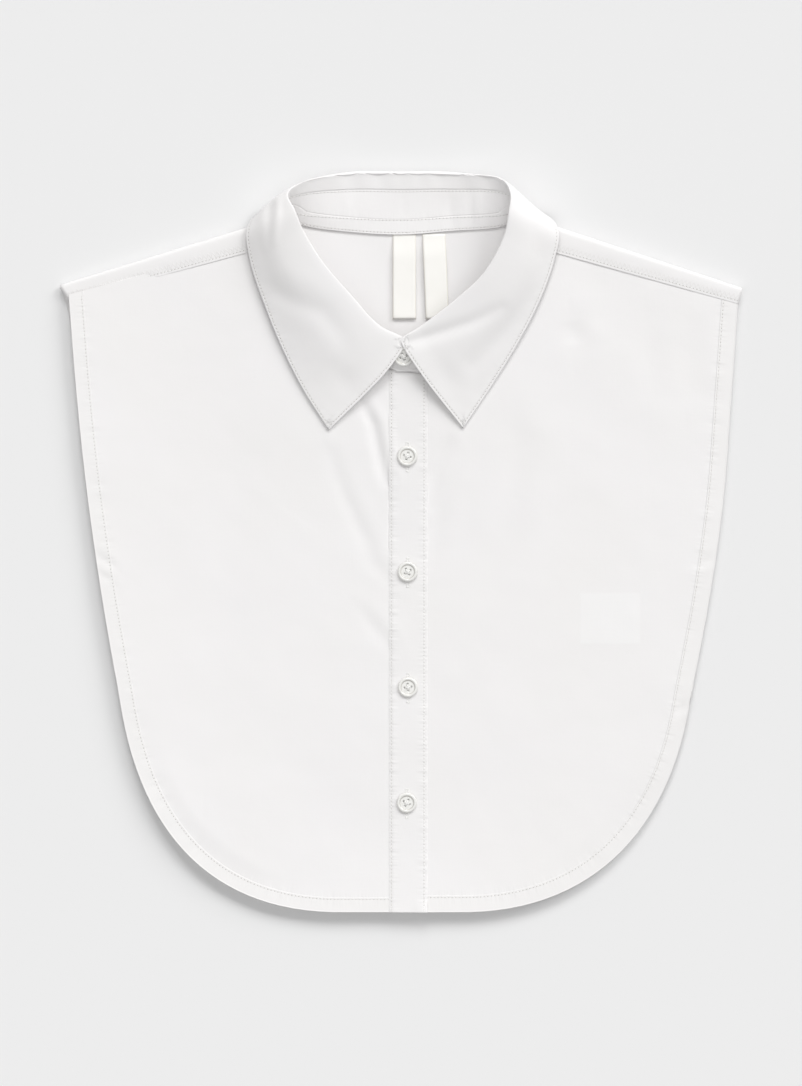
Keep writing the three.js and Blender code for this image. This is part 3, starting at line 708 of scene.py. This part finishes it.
def backPanel():
    shoulder, neck = backLook["shoulderColumns"], backLook["neckColumns"]
    columns = 2 * shoulder + neck
    leftShare = shoulder / columns
    level = garment["backLevel"]
    overFront = backLook["overFront"]

    def foldLine(outline, t):
        return outline["foldNeck"].lerp(outline["corner"], t)

    def radiusAt(p):
        return (panelHeight(p.x, p.y) + overFront - level) / 2

    def inward(outline, t):
        p = foldLine(outline, t)
        return Vector((p.x, p.y - radiusAt(p), level))

    def top(u):
        if u <= leftShare:
            return inward(bibSides[0], 1 - u / leftShare)
        if u >= 1 - leftShare:
            return inward(bibSides[1], (u - 1 + leftShare) / leftShare)
        t = (u - leftShare) / (1 - 2 * leftShare)
        first = outlineLook["foldSection"]
        p = necklineAt(first + (lastSection - 2 * first) * t, -1.0)
        p.z = level
        ends = inward(bibSides[0], 0).lerp(inward(bibSides[1], 0), t)
        return p.lerp(ends, abs(2 * t - 1) ** 12)

    def inset(p, side):
        return Vector((p.x - side * backLook["inset"], p.y + backLook["inset"], level))

    def bottom(u):
        side = -1 if u < 0.5 else 1
        t = abs(2 * u - 1)
        hem = inset(bezierAt(*bibSides[0 if side < 0 else 1]["round"], t), side)
        return Vector((0, backLook["inset"], level)).lerp(hem, smooth(0, 0.15, t))

    def sideCurve(outline, end):
        side = outline["side"]

        def at(v):
            p = inset(splineAt(outline["straight"], v), side)
            p.y -= backLook["inset"]
            low = inset(bezierAt(*outline["round"], 1), side)
            return low.lerp(p, smooth(0, 0.1, v)).lerp(end, smooth(0.85, 1, v))
        return at

    main = coonsPoints(bottom, top, sideCurve(bibSides[0], top(0)), sideCurve(bibSides[1], top(1)),
                       [i / columns for i in range(columns + 1)], evenShares(backLook["rows"], 0.002, 0))
    for r, line in enumerate(main[:-1]):
        for p in line:
            p.z = level + backLook["lift"] * (1 + crinkle(p.x, p.y, 5.5, backLook["liftSize"]))\
                * smooth(0, 0.15, 1 - r / len(main))
    hem = [bottom(i / 200) for i in range(201)]
    parts = [clothGrid(main, borders=borderTree([hem]))]
    for outline in bibSides:
        strip = []
        for c in range(shoulder + 1):
            t = c / shoulder
            fold, start = foldLine(outline, t), inward(outline, t)
            radius = fold.y - start.y
            seam = outline["seamNeck"].lerp(outline["seamArm"], t)
            line = []
            for a in range(backLook["arcSteps"] + 1):
                turn = math.pi * (a / backLook["arcSteps"] - 0.5)
                line.append(Vector((fold.x, start.y + radius * math.cos(turn),
                                    level + radius + radius * math.sin(turn))))
            turned = line[-1].copy()
            for share in evenShares(backLook["stripRows"], 0, 0.02)[1:]:
                p = turned.lerp(seam, share)
                wave = crinkle(p.x, p.y * 3, 9.1, backLook["puffSize"]) * share
                puff = backLook["puff"] * math.sin(math.pi * share) + backLook["puff"] * wave
                p.z = panelHeight(p.x, p.y) + overFront + puff * (1 - 0.6 * share)
                line.append(p)
            strip.append(line)
        if outline["side"] > 0:
            strip.reverse()
        seamLine = [line[-1] for line in strip]
        flat = [[(p.x, p.y) for p in line] for line in strip]
        parts.append(clothGrid(strip, flat, borderTree([seamLine])))
    return joinMeshes(parts, weld=0.01)


back = addCloth(
    "backPanel", backPanel(), backLook["wall"],
    # tone 0.975 paints shade into the back panel: a darker copy of the poplin
    poplin("poplin_back", rows=(backLook["stitch"],), overlock=(2.6, 5.0, 2.6), pucker=0.12,
           tone=0.975),
    nodes=("back_panel",))
print("back panel: ready")

# placket: a strip of folded cloth down the front
placketLook = dict(
    columns=20, rows=210, wall=0.4, overLeft=0.06, overRight=0.16, body=0.36,
    leftStitch=1.4, rightStitch=2.0, wave=0.16, waveReach=3, cornerLift=1.2, slant=0.16, pastSeam=1.6,
)


def placketPoint(across, down):        # across from 0 to 1, down from the neck (1) to the hem (0)
    x = garment["placketCentre"] + garment["placketWidth"] * (across - 0.5)
    frontY = railPoint("seam", 0).y + placketLook["pastSeam"]
    y = frontY * down - across * down ** 8 * garment["placketWidth"] * placketLook["slant"]
    under = max(panelHeight(x + step, y) for step in (-2, 0, 2))
    edge = min(across, 1 - across) * garment["placketWidth"]
    ripple = placketLook["wave"] * crinkle(x * 0.4, y, 4.4, 5.5)
    ripple *= math.exp(-((edge - 2) / placketLook["waveReach"]) ** 2)
    lift = placketLook["cornerLift"] * smooth(0.55, 1, across) * smooth(0.03, 0, down)
    body = placketLook["body"] * smooth(0, 2.2, edge)
    over = placketLook["overLeft"] * (1 - across) + placketLook["overRight"] * across
    return Vector((x, y, under + hemCurl(x, y, y) + over + body + ripple + lift))


def placketMesh():
    columnShares = evenShares(placketLook["columns"], 0.012, 0.012)
    rowShares = evenShares(placketLook["rows"], 0.001, 0)
    points = [[placketPoint(u, v) for u in columnShares] for v in rowShares]
    edges = [[line[0] for line in points], [line[-1] for line in points]]
    return clothGrid(points, None, borderTree(edges))


placket = addCloth(
    "placket", placketMesh(), placketLook["wall"],
    poplin("poplin_placket", rows=(placketLook["leftStitch"], placketLook["rightStitch"]),
           groove=0.04, pucker=0.10), nodes=("placket",))
print("placket: ready")

# collar stand: the band round the neck; its left end laps over the right one at the button
standLook = dict(columns=270, rows=22, ends=14, wall=0.8, pastLeft=13.7, pastRight=8.0, seamLift=0.8,
                 endTaper=0.12, fineCrease=0.35, broadCrease=0.4, width=28, columnStep=1.35,
                 stitchShares=(0.045, 0.31, 0.93), stitchFrom=85)
# where each wrinkle crosses the back, its height and its width
standWrinkles = [(40.5, -0.55, 2.0), (43.8, 0.45, 1.9), (28.5, -0.3, 2.4), (1.2, -0.3, 1.2), (-31, 0.35, 3.0)]


def standPoint(c, share):        # c counts the columns from the left end of the neckline
    columns = standLook["columns"]
    station = clamp(c / columns, 0, 1) * lastSection
    seam, roll = railPoint("seam", station), railPoint("roll", station)
    past = -c / standLook["ends"] if c < 0 else max(c - columns, 0) / standLook["ends"]
    reach = standLook["pastLeft"] if c < 0 else -standLook["pastRight"]
    p = seam.lerp(roll, share * garment["standShare"] * (1 - standLook["endTaper"] * past * past))
    slope = (roll - seam).normalized()
    out = Vector((0, 0, 1)) - slope * slope.z
    crease = crinkle(c * 0.4, share * 2, 2.2, 3.0) * standLook["fineCrease"]
    crease += crinkle(c * 0.12, share, 6.2, 3.0) * standLook["broadCrease"]
    for x, depth, width in standWrinkles:
        crease += depth * math.exp(-((p.x - x) / width) ** 2)
    p += out * crease * math.sin(math.pi * clamp(share, 0, 1)) * smooth(20, 60, min(c, columns - c))
    p.z += standLook["seamLift"] * smooth(4.4, 0.4, seam.z) * (1 - share)
    p.x += reach * past
    return p


def standMesh():
    ends = standLook["ends"]
    shares = evenShares(standLook["rows"], 0.015, 0.015)
    points = [[standPoint(c, share) for share in shares]
              for c in range(-ends, standLook["columns"] + ends + 1)]
    flat = [[(c * standLook["columnStep"], share * standLook["width"]) for share in shares]
            for c in range(len(points))]
    seamLine = [line[0] for line in points]
    return clothGrid(points, flat, borderTree([seamLine]))


stand = addCloth(
    "collarStand", standMesh(), standLook["wall"],
    # tone 1.06 paints light into the stand: a brighter copy of the poplin that lifts the band out of its
    # shade
    poplin("poplin_stand", rows=(1.1, 8.6), groove=0.12, pucker=0.07, tone=1.06), nodes=("collar_stand",))
print("collar stand: ready")

# collar leaf: starts inside the neck at the top of the stand, turns over and falls to its edge
leafLook = dict(
    columns=300, rows=52, wall=0.9, stitch=1.45, wave=0.12, waveSize=7, waveFrom=0.85, meetLeft=3.6,
    meetRight=-2.2, meetReach=1.3, settle=1.3, crestShare=0.06, crestRise=0.4, overlap=0.9, overlapShift=-0.6,
    backRipple=0.8, rippleSize=9, startDown=0.01, startLift=0.25, cutLength=420, endRows=40,
)
# folds in the leaf fade differently from those in the front
leafFoldShape = dict(reach=3, fadeStart=0.28, fade=0.6)
leafFolds = [        # lines in plan, depth and width; a ridge has a depth below 0
    dict(line=[(-70.3, 412), (-70.8, 399), (-72.5, 384)], depth=-0.85, width=2.2),
    dict(line=[(-74.6, 410), (-76, 385)], depth=0.8, width=2.6),
    dict(line=[(-82, 392), (-80, 370)], depth=0.6, width=6.0),
    dict(line=[(-76, 357), (-60, 350), (-45, 344), (-35, 332), (-31, 322)], depth=0.8, width=6.0),
    dict(line=[(-67, 368), (-50, 361), (-37, 352)], depth=-0.25, width=6.0),
    dict(line=[(-36, 312), (-28, 298)], depth=0.4, width=6.0),
    dict(line=[(6, 327.5), (22, 332.5), (40, 338.5), (57, 347)], depth=1.3, width=3.4),
    dict(line=[(42, 316), (58, 331), (74, 352)], depth=1.0, width=7.0),
    dict(line=[(24, 312), (30, 300)], depth=0.4, width=6.0),
    dict(line=[(78, 392), (80, 372)], depth=0.5, width=5.0),
]
for fold in leafFolds:
    fold["line"] = [Vector(p) for p in fold["line"]]


def leafDrop(x, y):
    drop = 0
    for fold in leafFolds:
        distance, side, along = nearestOn(fold["line"], Vector((x, y)))
        away = distance / fold["width"]
        if away < leafFoldShape["reach"]:
            fade = math.sin(math.pi * (leafFoldShape["fadeStart"] + leafFoldShape["fade"] * along))
            drop += fold["depth"] * math.exp(-away * away) * fade
    return drop


def leafSection(station, shares):
    seam, roll = railPoint("seam", station), railPoint("roll", station)
    fall, edge = railPoint("fall", station), railPoint("edge", station)
    start = seam.lerp(roll, garment["standShare"] - leafLook["startDown"])
    start.z += leafLook["startLift"]
    crest = roll.lerp(fall, leafLook["crestShare"])
    crest.z += leafLook["crestRise"]
    crest.x += leafLook["meetLeft"] * smooth(leafLook["meetReach"], 0, station)
    crest.x += leafLook["meetRight"] * smooth(leafLook["meetReach"], 0, lastSection - station)
    fromFront = min(station, lastSection - station)
    line = [splineAt([start, roll, crest, fall, edge], share) for share in shares]
    for p, share in zip(line, shares):
        onFall = smooth(0.44, 0.56, share) * smooth(1.0, 0.85, share) * smooth(7.2, 6.6, fromFront)
        p.z -= leafDrop(p.x, p.y) * onFall
        settled = smooth(0.5, 0.8, share) * (1 - 0.65 * smooth(0.85, 1, share))
        p.z -= leafLook["settle"] * settled * smooth(1.7, 0.2, fromFront)
        over = smooth(0.8, 0.1, lastSection - station) * smooth(0.85, 0.5, share)        # right over left
        p += Vector((leafLook["overlapShift"], 0, leafLook["overlap"])) * over
        inBand = smooth(6.2, 7.5, fromFront) * math.sin(math.pi * min(2 * share, 1))
        p.z += leafLook["backRipple"] * crinkle(p.x, 0, 5.1, leafLook["rippleSize"]) * inBand
    return line


def leafMesh():
    shares = evenShares(leafLook["rows"], 0.004, 0.006)
    points, flat = [], []
    for u in evenShares(leafLook["columns"], 0.0008, 0.0008):
        line = leafSection(u * lastSection, shares)
        lengths = [0]
        for a, b in zip(line, line[1:]):
            lengths.append(lengths[-1] + (b - a).length)
        points.append(line)
        flat.append([(u * leafLook["cutLength"], lengths[-1] - length) for length in lengths])
    endRows, waveFrom = leafLook["endRows"], leafLook["waveFrom"]
    borders = [points[0][::-1][:endRows], [line[-1] for line in points], points[-1][-endRows:]]
    for line in points:
        for p, share in zip(line, shares):
            if share > waveFrom:
                wave = crinkle(p.x, p.y, 8.8, leafLook["waveSize"]) * smooth(waveFrom, waveFrom + 0.1, share)
                p.z += leafLook["wave"] * wave
    return clothGrid(points, flat, borderTree(borders))


leaf = addCloth(
    "collarLeaf", leafMesh(), leafLook["wall"],
    poplin("poplin_leaf", rows=(leafLook["stitch"],), groove=0.16, pucker=0.10),
    nodes=("collar_leaf",))
print("collar leaf: ready")

# labels: two bare ribbons folded at the foot, sewn into the back neck seam
labelLook = dict(width=13.4, length=49, wall=0.28, gap=0.45, underShare=0.9, columns=10, rows=60,
                 past=0.6, foldShare=0.03, level=1.15, wave=0.12, waveSize=9, tuck=1.25, tuckReach=15)
labels = [
    dict(name="labelLeft", node="label_left", centre=1.9, lean=0.0, bow=0.15, seed=1.0),
    dict(name="labelRight", node="label_right", centre=18.9, lean=-0.042, bow=0.35, seed=4.0),
]


def labelMesh(label):
    topY = railPoint("seam", lastSection / 2).y + labelLook["past"]
    length, radius, bend = labelLook["length"], labelLook["gap"] / 2, labelLook["foldShare"]
    points, flat = [], []
    for r in range(labelLook["rows"] + 1):
        t = r / labelLook["rows"] * (1 + labelLook["underShare"])
        turn = clamp((t - 1) / bend, 0, 1) * math.pi
        if t <= 1:
            y, z = topY - length * t, 2 * radius
        elif t < 1 + bend:
            y, z = topY - length - radius * math.sin(turn), radius + radius * math.cos(turn)
        else:
            y, z = topY - length + length * (t - 1 - bend), 0
        bow = label["bow"] * math.sin(math.pi * clamp((topY - y) / length, 0, 1))
        line = []
        for c in range(labelLook["columns"] + 1):
            across = (c / labelLook["columns"] - 0.5) * labelLook["width"]
            x = label["centre"] + across + label["lean"] * (y - topY)
            wave = labelLook["wave"] * (1 + crinkle(x, y, label["seed"], labelLook["waveSize"]))
            tuck = labelLook["tuck"] * smooth(labelLook["tuckReach"], 0.4, topY - y)
            line.append(Vector((x, y, garment["backLevel"] + labelLook["level"] + z + bow + wave - tuck)))
        points.append(line)
        flat.append([(c * labelLook["width"] / labelLook["columns"], t * length)
                     for c in range(labelLook["columns"] + 1)])
    edges = borderTree([[line[0] for line in points], [line[-1] for line in points]])
    return clothGrid(points, flat, edges)


satinMaterial = satin("label_satin")
for label in labels:
    ribbon = addCloth(label["name"], labelMesh(label), labelLook["wall"], satinMaterial,
                      nodes=(label["node"],))
print("labels: ready")

# buttons: a turned disc with a rounded rim, a shallow well and four holes sewn through with thread
buttonLook = dict(
    radius=5.75, thickness=1.6, well=4.15, wellDepth=0.48, holeRadius=0.62, holeOffset=1.75,
    pitch=66.4, first=48.7, lift=0.05, segments=72, inset=(0.55, 0.35, 0.15, 0.85),
    neckInset=2.7, neckLift=0.95, neckShare=0.45,
)
strandLook = dict(count=4, pitch=0.24, width=0.19, height=0.17, pastHole=0.2, sink=0.5, arch=0.75, over=0.16)
buttonTurns = dict(button_neck=20, button_1=-16, button_2=31, button_3=8, button_4=-27)


def buttonBody(place):
    look = buttonLook
    rim = (look["radius"] + look["well"]) / 2
    top = look["thickness"]
    profile = [
        (0, top - look["wellDepth"] - 0.06), (look["well"] * 0.7, top - look["wellDepth"]),
        (look["well"] - 0.45, top - look["wellDepth"] - 0.12), (look["well"] - 0.12, top - 0.40),
        (look["well"] + 0.02, top - 0.22), (look["well"] + 0.3, top - 0.05), (rim, top),
        (look["radius"] - 0.5, top - 0.06), (look["radius"] - 0.12, top - 0.4), (look["radius"], top - 0.75),
        (look["radius"] - 0.05, top - 1.0), (look["radius"] - 0.4, 0.2), (look["radius"] - 1.4, 0), (0, 0),
    ]
    mesh = bmesh.new()
    corners = [mesh.verts.new((r * mm, 0, z * mm)) for r, z in profile]
    edges = [mesh.edges.new(pair) for pair in zip(corners, corners[1:])]
    bmesh.ops.spin(mesh, geom=corners + edges, cent=(0, 0, 0), axis=(0, 0, 1), angle=2 * math.pi,
                   steps=look["segments"], use_merge=True, use_duplicate=False)
    bmesh.ops.remove_doubles(mesh, verts=mesh.verts, dist=0.005 * mm)
    bmesh.ops.recalc_face_normals(mesh, faces=mesh.faces)
    for face in mesh.faces:
        face.smooth = True
        middle = face.calc_center_median()
        reach = math.hypot(middle.x, middle.y) / mm
        inWell = look["well"] - 0.3 < reach < look["well"] + 0.05
        onSide = reach > look["radius"] - 0.4 and middle.z / mm < top - 0.6
        # the well's wall and the rim's outer side take the darker resin: painted shade on the steep walls
        face.material_index = 1 if inWell or onSide else 0
    mesh.transform(place)
    return mesh


def holeCutter(place, turn):
    cutters = []
    for i in range(4):
        angle = turn + i * math.pi / 2
        cutter = bmesh.new()
        at = Matrix.Translation((buttonLook["holeOffset"] * mm * math.cos(angle),
                                 buttonLook["holeOffset"] * mm * math.sin(angle), 1 * mm))
        bmesh.ops.create_cone(cutter, cap_ends=True, segments=20, radius1=buttonLook["holeRadius"] * mm,
                              radius2=buttonLook["holeRadius"] * mm, depth=6 * mm, matrix=place @ at)
        cutters.append(cutter)
    return joinMeshes(cutters)


def buttonThread(place, turn):        # two crossed bars of four strands each
    strands = []
    level = buttonLook["thickness"] - buttonLook["wellDepth"]
    for bar in range(2):
        angle = turn + bar * math.pi / 2
        for k in range(strandLook["count"]):
            offset = (k - (strandLook["count"] - 1) / 2) * strandLook["pitch"]
            strand = bmesh.new()
            bmesh.ops.create_uvsphere(strand, u_segments=12, v_segments=24, radius=1)
            for vertex in strand.verts:
                reach = vertex.co.z * (buttonLook["holeOffset"] + strandLook["pastHole"])
                beside = offset * (0.6 + 0.4 * abs(vertex.co.z)) + vertex.co.x * strandLook["width"]
                arch = strandLook["arch"] * (1 - abs(vertex.co.z) ** 4)
                up = level - strandLook["sink"] + arch + bar * strandLook["over"]
                vertex.co = Vector((reach, beside, up + vertex.co.y * strandLook["height"])) * mm
            for face in strand.faces:
                face.smooth = True
            bmesh.ops.recalc_face_normals(strand, faces=strand.faces)
            strand.transform(place @ Matrix.Rotation(angle, 4, "Z"))
            strands.append(strand)
    return joinMeshes(strands)


resin = buttonResin("button_resin", (0.89, 0.885, 0.86, 1), (0.80, 0.795, 0.765, 1))
# the darker resin is painted shade for the button's steep walls
resinWallShade = buttonResin("button_resin_wall_shade", (0.70, 0.685, 0.645, 1), (0.60, 0.585, 0.545, 1))
standFoot, standTop = railPoint("seam", 0), railPoint("roll", 0)
standAt = standFoot.lerp(standTop, buttonLook["neckShare"])
standSlope = math.atan2(standTop.z - standFoot.z, standTop.y - standFoot.y)
buttonPlaces = {}
neckX = garment["placketCentre"] - buttonLook["neckInset"]
neckPlace = toScene(Vector((neckX, standAt.y, standAt.z + buttonLook["neckLift"])))
buttonPlaces["button_neck"] = Matrix.Translation(neckPlace) @ Matrix.Rotation(standSlope, 4, "X")
for i in range(4):
    y = garment["placketLength"] - buttonLook["first"] - i * buttonLook["pitch"]
    x = garment["placketCentre"] - buttonLook["inset"][i]
    hit = dropOn("placket", x, y)[0]
    hit.z += buttonLook["lift"] * mm
    buttonPlaces[f"button_{i + 1}"] = Matrix.Translation(hit)
for name, place in buttonPlaces.items():
    turn = math.radians(buttonTurns[name])
    button = addObject(name + "_body", buttonBody(place), resin, nodes=(name,))
    cutter = bpy.data.objects.new("cutter", bpy.data.meshes.new("cutter"))
    holeMesh = holeCutter(place, turn)
    holeMesh.to_mesh(cutter.data)
    holeMesh.free()
    bpy.context.scene.collection.objects.link(cutter)
    button.data.materials.append(resinWallShade)
    holes = button.modifiers.new("holes", "BOOLEAN")
    holes.object = cutter
    holes.solver = "EXACT"
    bpy.context.view_layer.update()
    cut = bpy.data.meshes.new_from_object(button.evaluated_get(bpy.context.evaluated_depsgraph_get()))
    button.modifiers.clear()
    button.data = cut
    cutterData = cutter.data
    bpy.data.objects.remove(cutter)
    bpy.data.meshes.remove(cutterData)
    addObject(name + "_thread", buttonThread(place, turn), threadMaterial)
print("buttons: ready")

# stitching: rows of small threads that lie in the seams, with a dot of painted shade for each needle hole
# between them
stitchLook = dict(pitch=2.05, length=1.3, width=0.44, height=0.30, mark=0.62, holeShadeHeight=0.08, clear=0.92)


def offsetLine(line, offset, towards):        # a line in plan, moved sideways to the side of a point
    moved = []
    for i, p in enumerate(line):
        tangent = (line[min(i + 1, len(line) - 1)] - line[max(i - 1, 0)]).to_2d()
        if tangent.length < 1e-6:
            continue
        tangent.normalize()
        normal = Vector((-tangent.y, tangent.x))
        if normal.dot((towards - p).to_2d()) < 0:
            normal = -normal
        moved.append(Vector((p.x + normal.x * offset, p.y + normal.y * offset, p.z)))
    return moved


def evenly(line, pitch):        # points at even lengths along the line
    places, need = [], pitch / 2
    for a, b in zip(line, line[1:]):
        span = (b - a).to_2d().length
        while need <= span and span > 0:
            places.append(a.lerp(b, need / span))
            need += pitch
        need -= span
    return places


# the size is the length, width and height of one stitch
def stitchRow(cloth, line, pitch=None, size=None, keep=None, shift=0.0):
    pitch = pitch or stitchLook["pitch"]
    size = size or (stitchLook["length"], stitchLook["width"], stitchLook["height"])
    wall = trees[cloth][1]
    places = evenly(line, pitch)
    row = bmesh.new()
    for i, p in enumerate(places):
        ahead = places[min(i + 1, len(places) - 1)] - places[max(i - 1, 0)]
        if len(places) == 1:        # a thread as long as its line lies in the middle of it
            p, ahead = (line[0] + line[-1]) / 2, line[-1] - line[0]
        p = p + ahead * (shift / 2)
        if keep and not keep(p):
            continue
        hit, normal, face, distance = dropOn(cloth, p.x, p.y)
        if hit is None or ahead.to_2d().length < 1e-6:
            continue
        if normal.z < 0:
            normal = -normal
        run = Vector((ahead.x, ahead.y, 0)).normalized()
        run = (run - normal * run.dot(normal)).normalized()
        turn = Matrix((run, normal.cross(run), normal)).transposed().to_4x4()
        scale = Matrix.Diagonal((size[0] / 2 * mm, size[1] / 2 * mm, size[2] / 2 * mm, 1))
        place = Matrix.Translation(hit + normal * (wall / 2 + 0.01 * mm)) @ turn @ scale
        bmesh.ops.create_uvsphere(row, u_segments=6, v_segments=4, radius=1,
                                  matrix=place @ Matrix.Rotation(math.pi / 2, 4, "Y"))
    for face in row.faces:
        face.smooth = True
    return row


# the rows name the cloth, the line and what to keep of it
def sew(name, rows, holeShadeFinish=holeShadeMaterial):
    mark = stitchLook["mark"]
    threads = [stitchRow(cloth, line, keep=keep) for cloth, line, keep in rows]
    # the marks between the threads are painted shade of the needle holes
    marks = [stitchRow(cloth, line, size=(mark, mark * 0.8, stitchLook["holeShadeHeight"]), keep=keep, shift=0.5)
             for cloth, line, keep in rows]
    addObject(name + "_stitches", joinMeshes(threads), threadMaterial)
    addObject(name + "_needle_hole_shades", joinMeshes(marks), holeShadeFinish)


hemRows = []
for side, name, inset in ((-1, "frontPanelLeft", frontLook["leftStitch"]),
                          (1, "frontPanelRight", frontLook["rightStitch"])):
    line = offsetLine(frontOutlines[side], inset, Vector((side * 60, 170, 0)))
    hemRows.append((name, line, lambda p: p.y > 2 and abs(p.x) > 2))
sew("hem", hemRows)

shoulderRows = []
for outline in bibSides:
    line = [outline["seamNeck"].lerp(outline["seamArm"], i / 40) for i in range(41)]
    line = offsetLine(line, backLook["stitch"], outline["corner"] + Vector((0, 30, 0)))
    shoulderRows.append(("backPanel", line, None))
sew("shoulder", shoulderRows)

placketRows = []
for across in (placketLook["leftStitch"] / garment["placketWidth"],
               1 - placketLook["rightStitch"] / garment["placketWidth"]):
    placketRows.append(("placket", [placketPoint(across, i / 60) for i in range(61)], None))
sew("placket", placketRows)

leafRows = []
railSteps = 20        # in each section of the collar
endSteps = 108        # as far as the front edges reach along the outer edge
edgeRail = [railPoint("edge", i / railSteps) for i in range(lastSection * railSteps + 1)]
stitchIn = leafLook["stitch"]


def farFrom(*others):        # keeps a row clear of the other borders at the collar's point and at the button
    tree = borderTree(others)[0]
    return lambda p: (tree.find(p)[0] - p).to_2d().length > stitchLook["clear"] * stitchIn


def inPlan(line):
    return [Vector((p.x, p.y, 0)) for p in line]


rightFront = inPlan(leafSection(lastSection, [0.2 + 0.6 * i / 60 for i in range(61)]))
for station, border in ((0, edgeRail[:endSteps]), (lastSection, edgeRail[-endSteps:][::-1])):
    frontEdge = leafSection(station, [0.3 + 0.7 * i / 60 for i in range(61)])
    outerLine = offsetLine(border, stitchIn, Vector((0, 350, 0)))
    frontLine = offsetLine(frontEdge, stitchIn, border[40])
    border, frontEdge, outerLine, frontLine = map(inPlan, (border, frontEdge, outerLine, frontLine))
    leafRows.append(("collarLeaf", outerLine, farFrom(frontEdge)))
    leafRows.append(("collarLeaf", frontLine, farFrom(border) if station else farFrom(border, rightFront)))
sew("collar", leafRows)

standRows = []
stitchTo = standLook["columns"] - standLook["stitchFrom"]
for share in standLook["stitchShares"]:
    line = [standPoint(c, share) for c in range(standLook["stitchFrom"], stitchTo + 1)]
    standRows.append(("collarStand", line, None))
# the stand's needle holes get the darker painted shade
sew("stand", standRows, deepHoleShadeMaterial)
print("stitching: ready")

# buttonholes: two bars of close threads with a tack at each end; only their ends show past the buttons
buttonholeLook = dict(length=15.4, gap=0.5, pitch=0.62, thread=0.40, reach=1.0, height=0.3, tacks=4,
                      tackPast=0.2, tackPitch=0.22, besideButton=0.2, belowButton=0.5)


def buttonhole(cloth, centre, direction):
    look = buttonholeLook
    across = Vector((-direction.y, direction.x, 0))
    rows = []
    for side in (-1, 1):
        middle = centre + across * side * (look["gap"] + look["reach"]) / 2
        count = int(look["length"] / look["pitch"])
        for i in range(count + 1):
            p = middle + direction * (i / count - 0.5) * look["length"]
            rows.append(stitchRow(cloth, [p - across * look["reach"] / 2, p + across * look["reach"] / 2],
                                  look["reach"], (look["reach"], look["thread"], look["height"])))
    for end in (-1, 1):
        for i in range(look["tacks"]):
            p = centre + direction * end * (look["length"] / 2 + look["tackPast"] + i * look["tackPitch"])
            half = across * (look["gap"] / 2 + look["reach"])
            whole, height = half.length * 2, look["height"]
            rows.append(stitchRow(cloth, [p - half, p + half], whole, (whole, height, height)))
    return rows


holeRows = []
for name, place in buttonPlaces.items():
    if name == "button_neck":
        continue
    at = place.translation
    centre = Vector((at.x / mm + buttonholeLook["besideButton"],
                     (at.y - hemY) / mm - buttonholeLook["belowButton"], 0))
    holeRows += buttonhole("placket", centre, Vector((0, 1, 0)))
addObject("buttonholes", joinMeshes(holeRows), threadMaterial)
print("buttonholes: ready")

# floor and light
floorLook = dict(size=6.0, tone=(0.847, 0.847, 0.847, 1))
floorMesh = bmesh.new()
bmesh.ops.create_grid(floorMesh, x_segments=4, y_segments=4, size=floorLook["size"] / 2)
floorData = bpy.data.meshes.new("floor")
floorMesh.to_mesh(floorData)
floorMesh.free()
floorMaterial, floorTree, floorShader = newMaterial("pale_floor", Roughness=0.9, Specular_IOR_Level=0.0)
floorShader.inputs["Base Color"].default_value = floorLook["tone"]
floorData.materials.append(floorMaterial)
floor = bpy.data.objects.new("floor", floorData)
bpy.context.scene.collection.objects.link(floor)

# each light: its share of what falls on the floor, where it stands and how soft it is, in degrees
skyShare = 0.30
lights = [
    dict(name="sideWindow", share=0.22, azimuth=46, elevation=29, softness=32),
    dict(name="backWindow", share=0.25, azimuth=2, elevation=36, softness=24),
    dict(name="frontFill", share=0.23, azimuth=205, elevation=68, softness=70),
]
world = bpy.data.worlds.new("studio")
world.use_nodes = True
world.node_tree.nodes["Background"].inputs["Color"].default_value = (1, 1, 1, 1)
world.node_tree.nodes["Background"].inputs["Strength"].default_value = skyShare
bpy.context.scene.world = world
for light in lights:
    sunData = bpy.data.lights.new(light["name"], "SUN")
    rise, turn = math.radians(light["elevation"]), math.radians(light["azimuth"])
    sunData.energy = light["share"] * math.pi / math.sin(rise)
    sunData.angle = math.radians(light["softness"])
    sun = bpy.data.objects.new(light["name"], sunData)
    towards = Vector((math.sin(turn) * math.cos(rise), math.cos(turn) * math.cos(rise), math.sin(rise)))
    sun.rotation_euler = towards.to_track_quat("Z", "Y").to_euler()
    bpy.context.scene.collection.objects.link(sun)
bpy.context.scene.view_settings.view_transform = "Standard"
print("floor and light: ready")
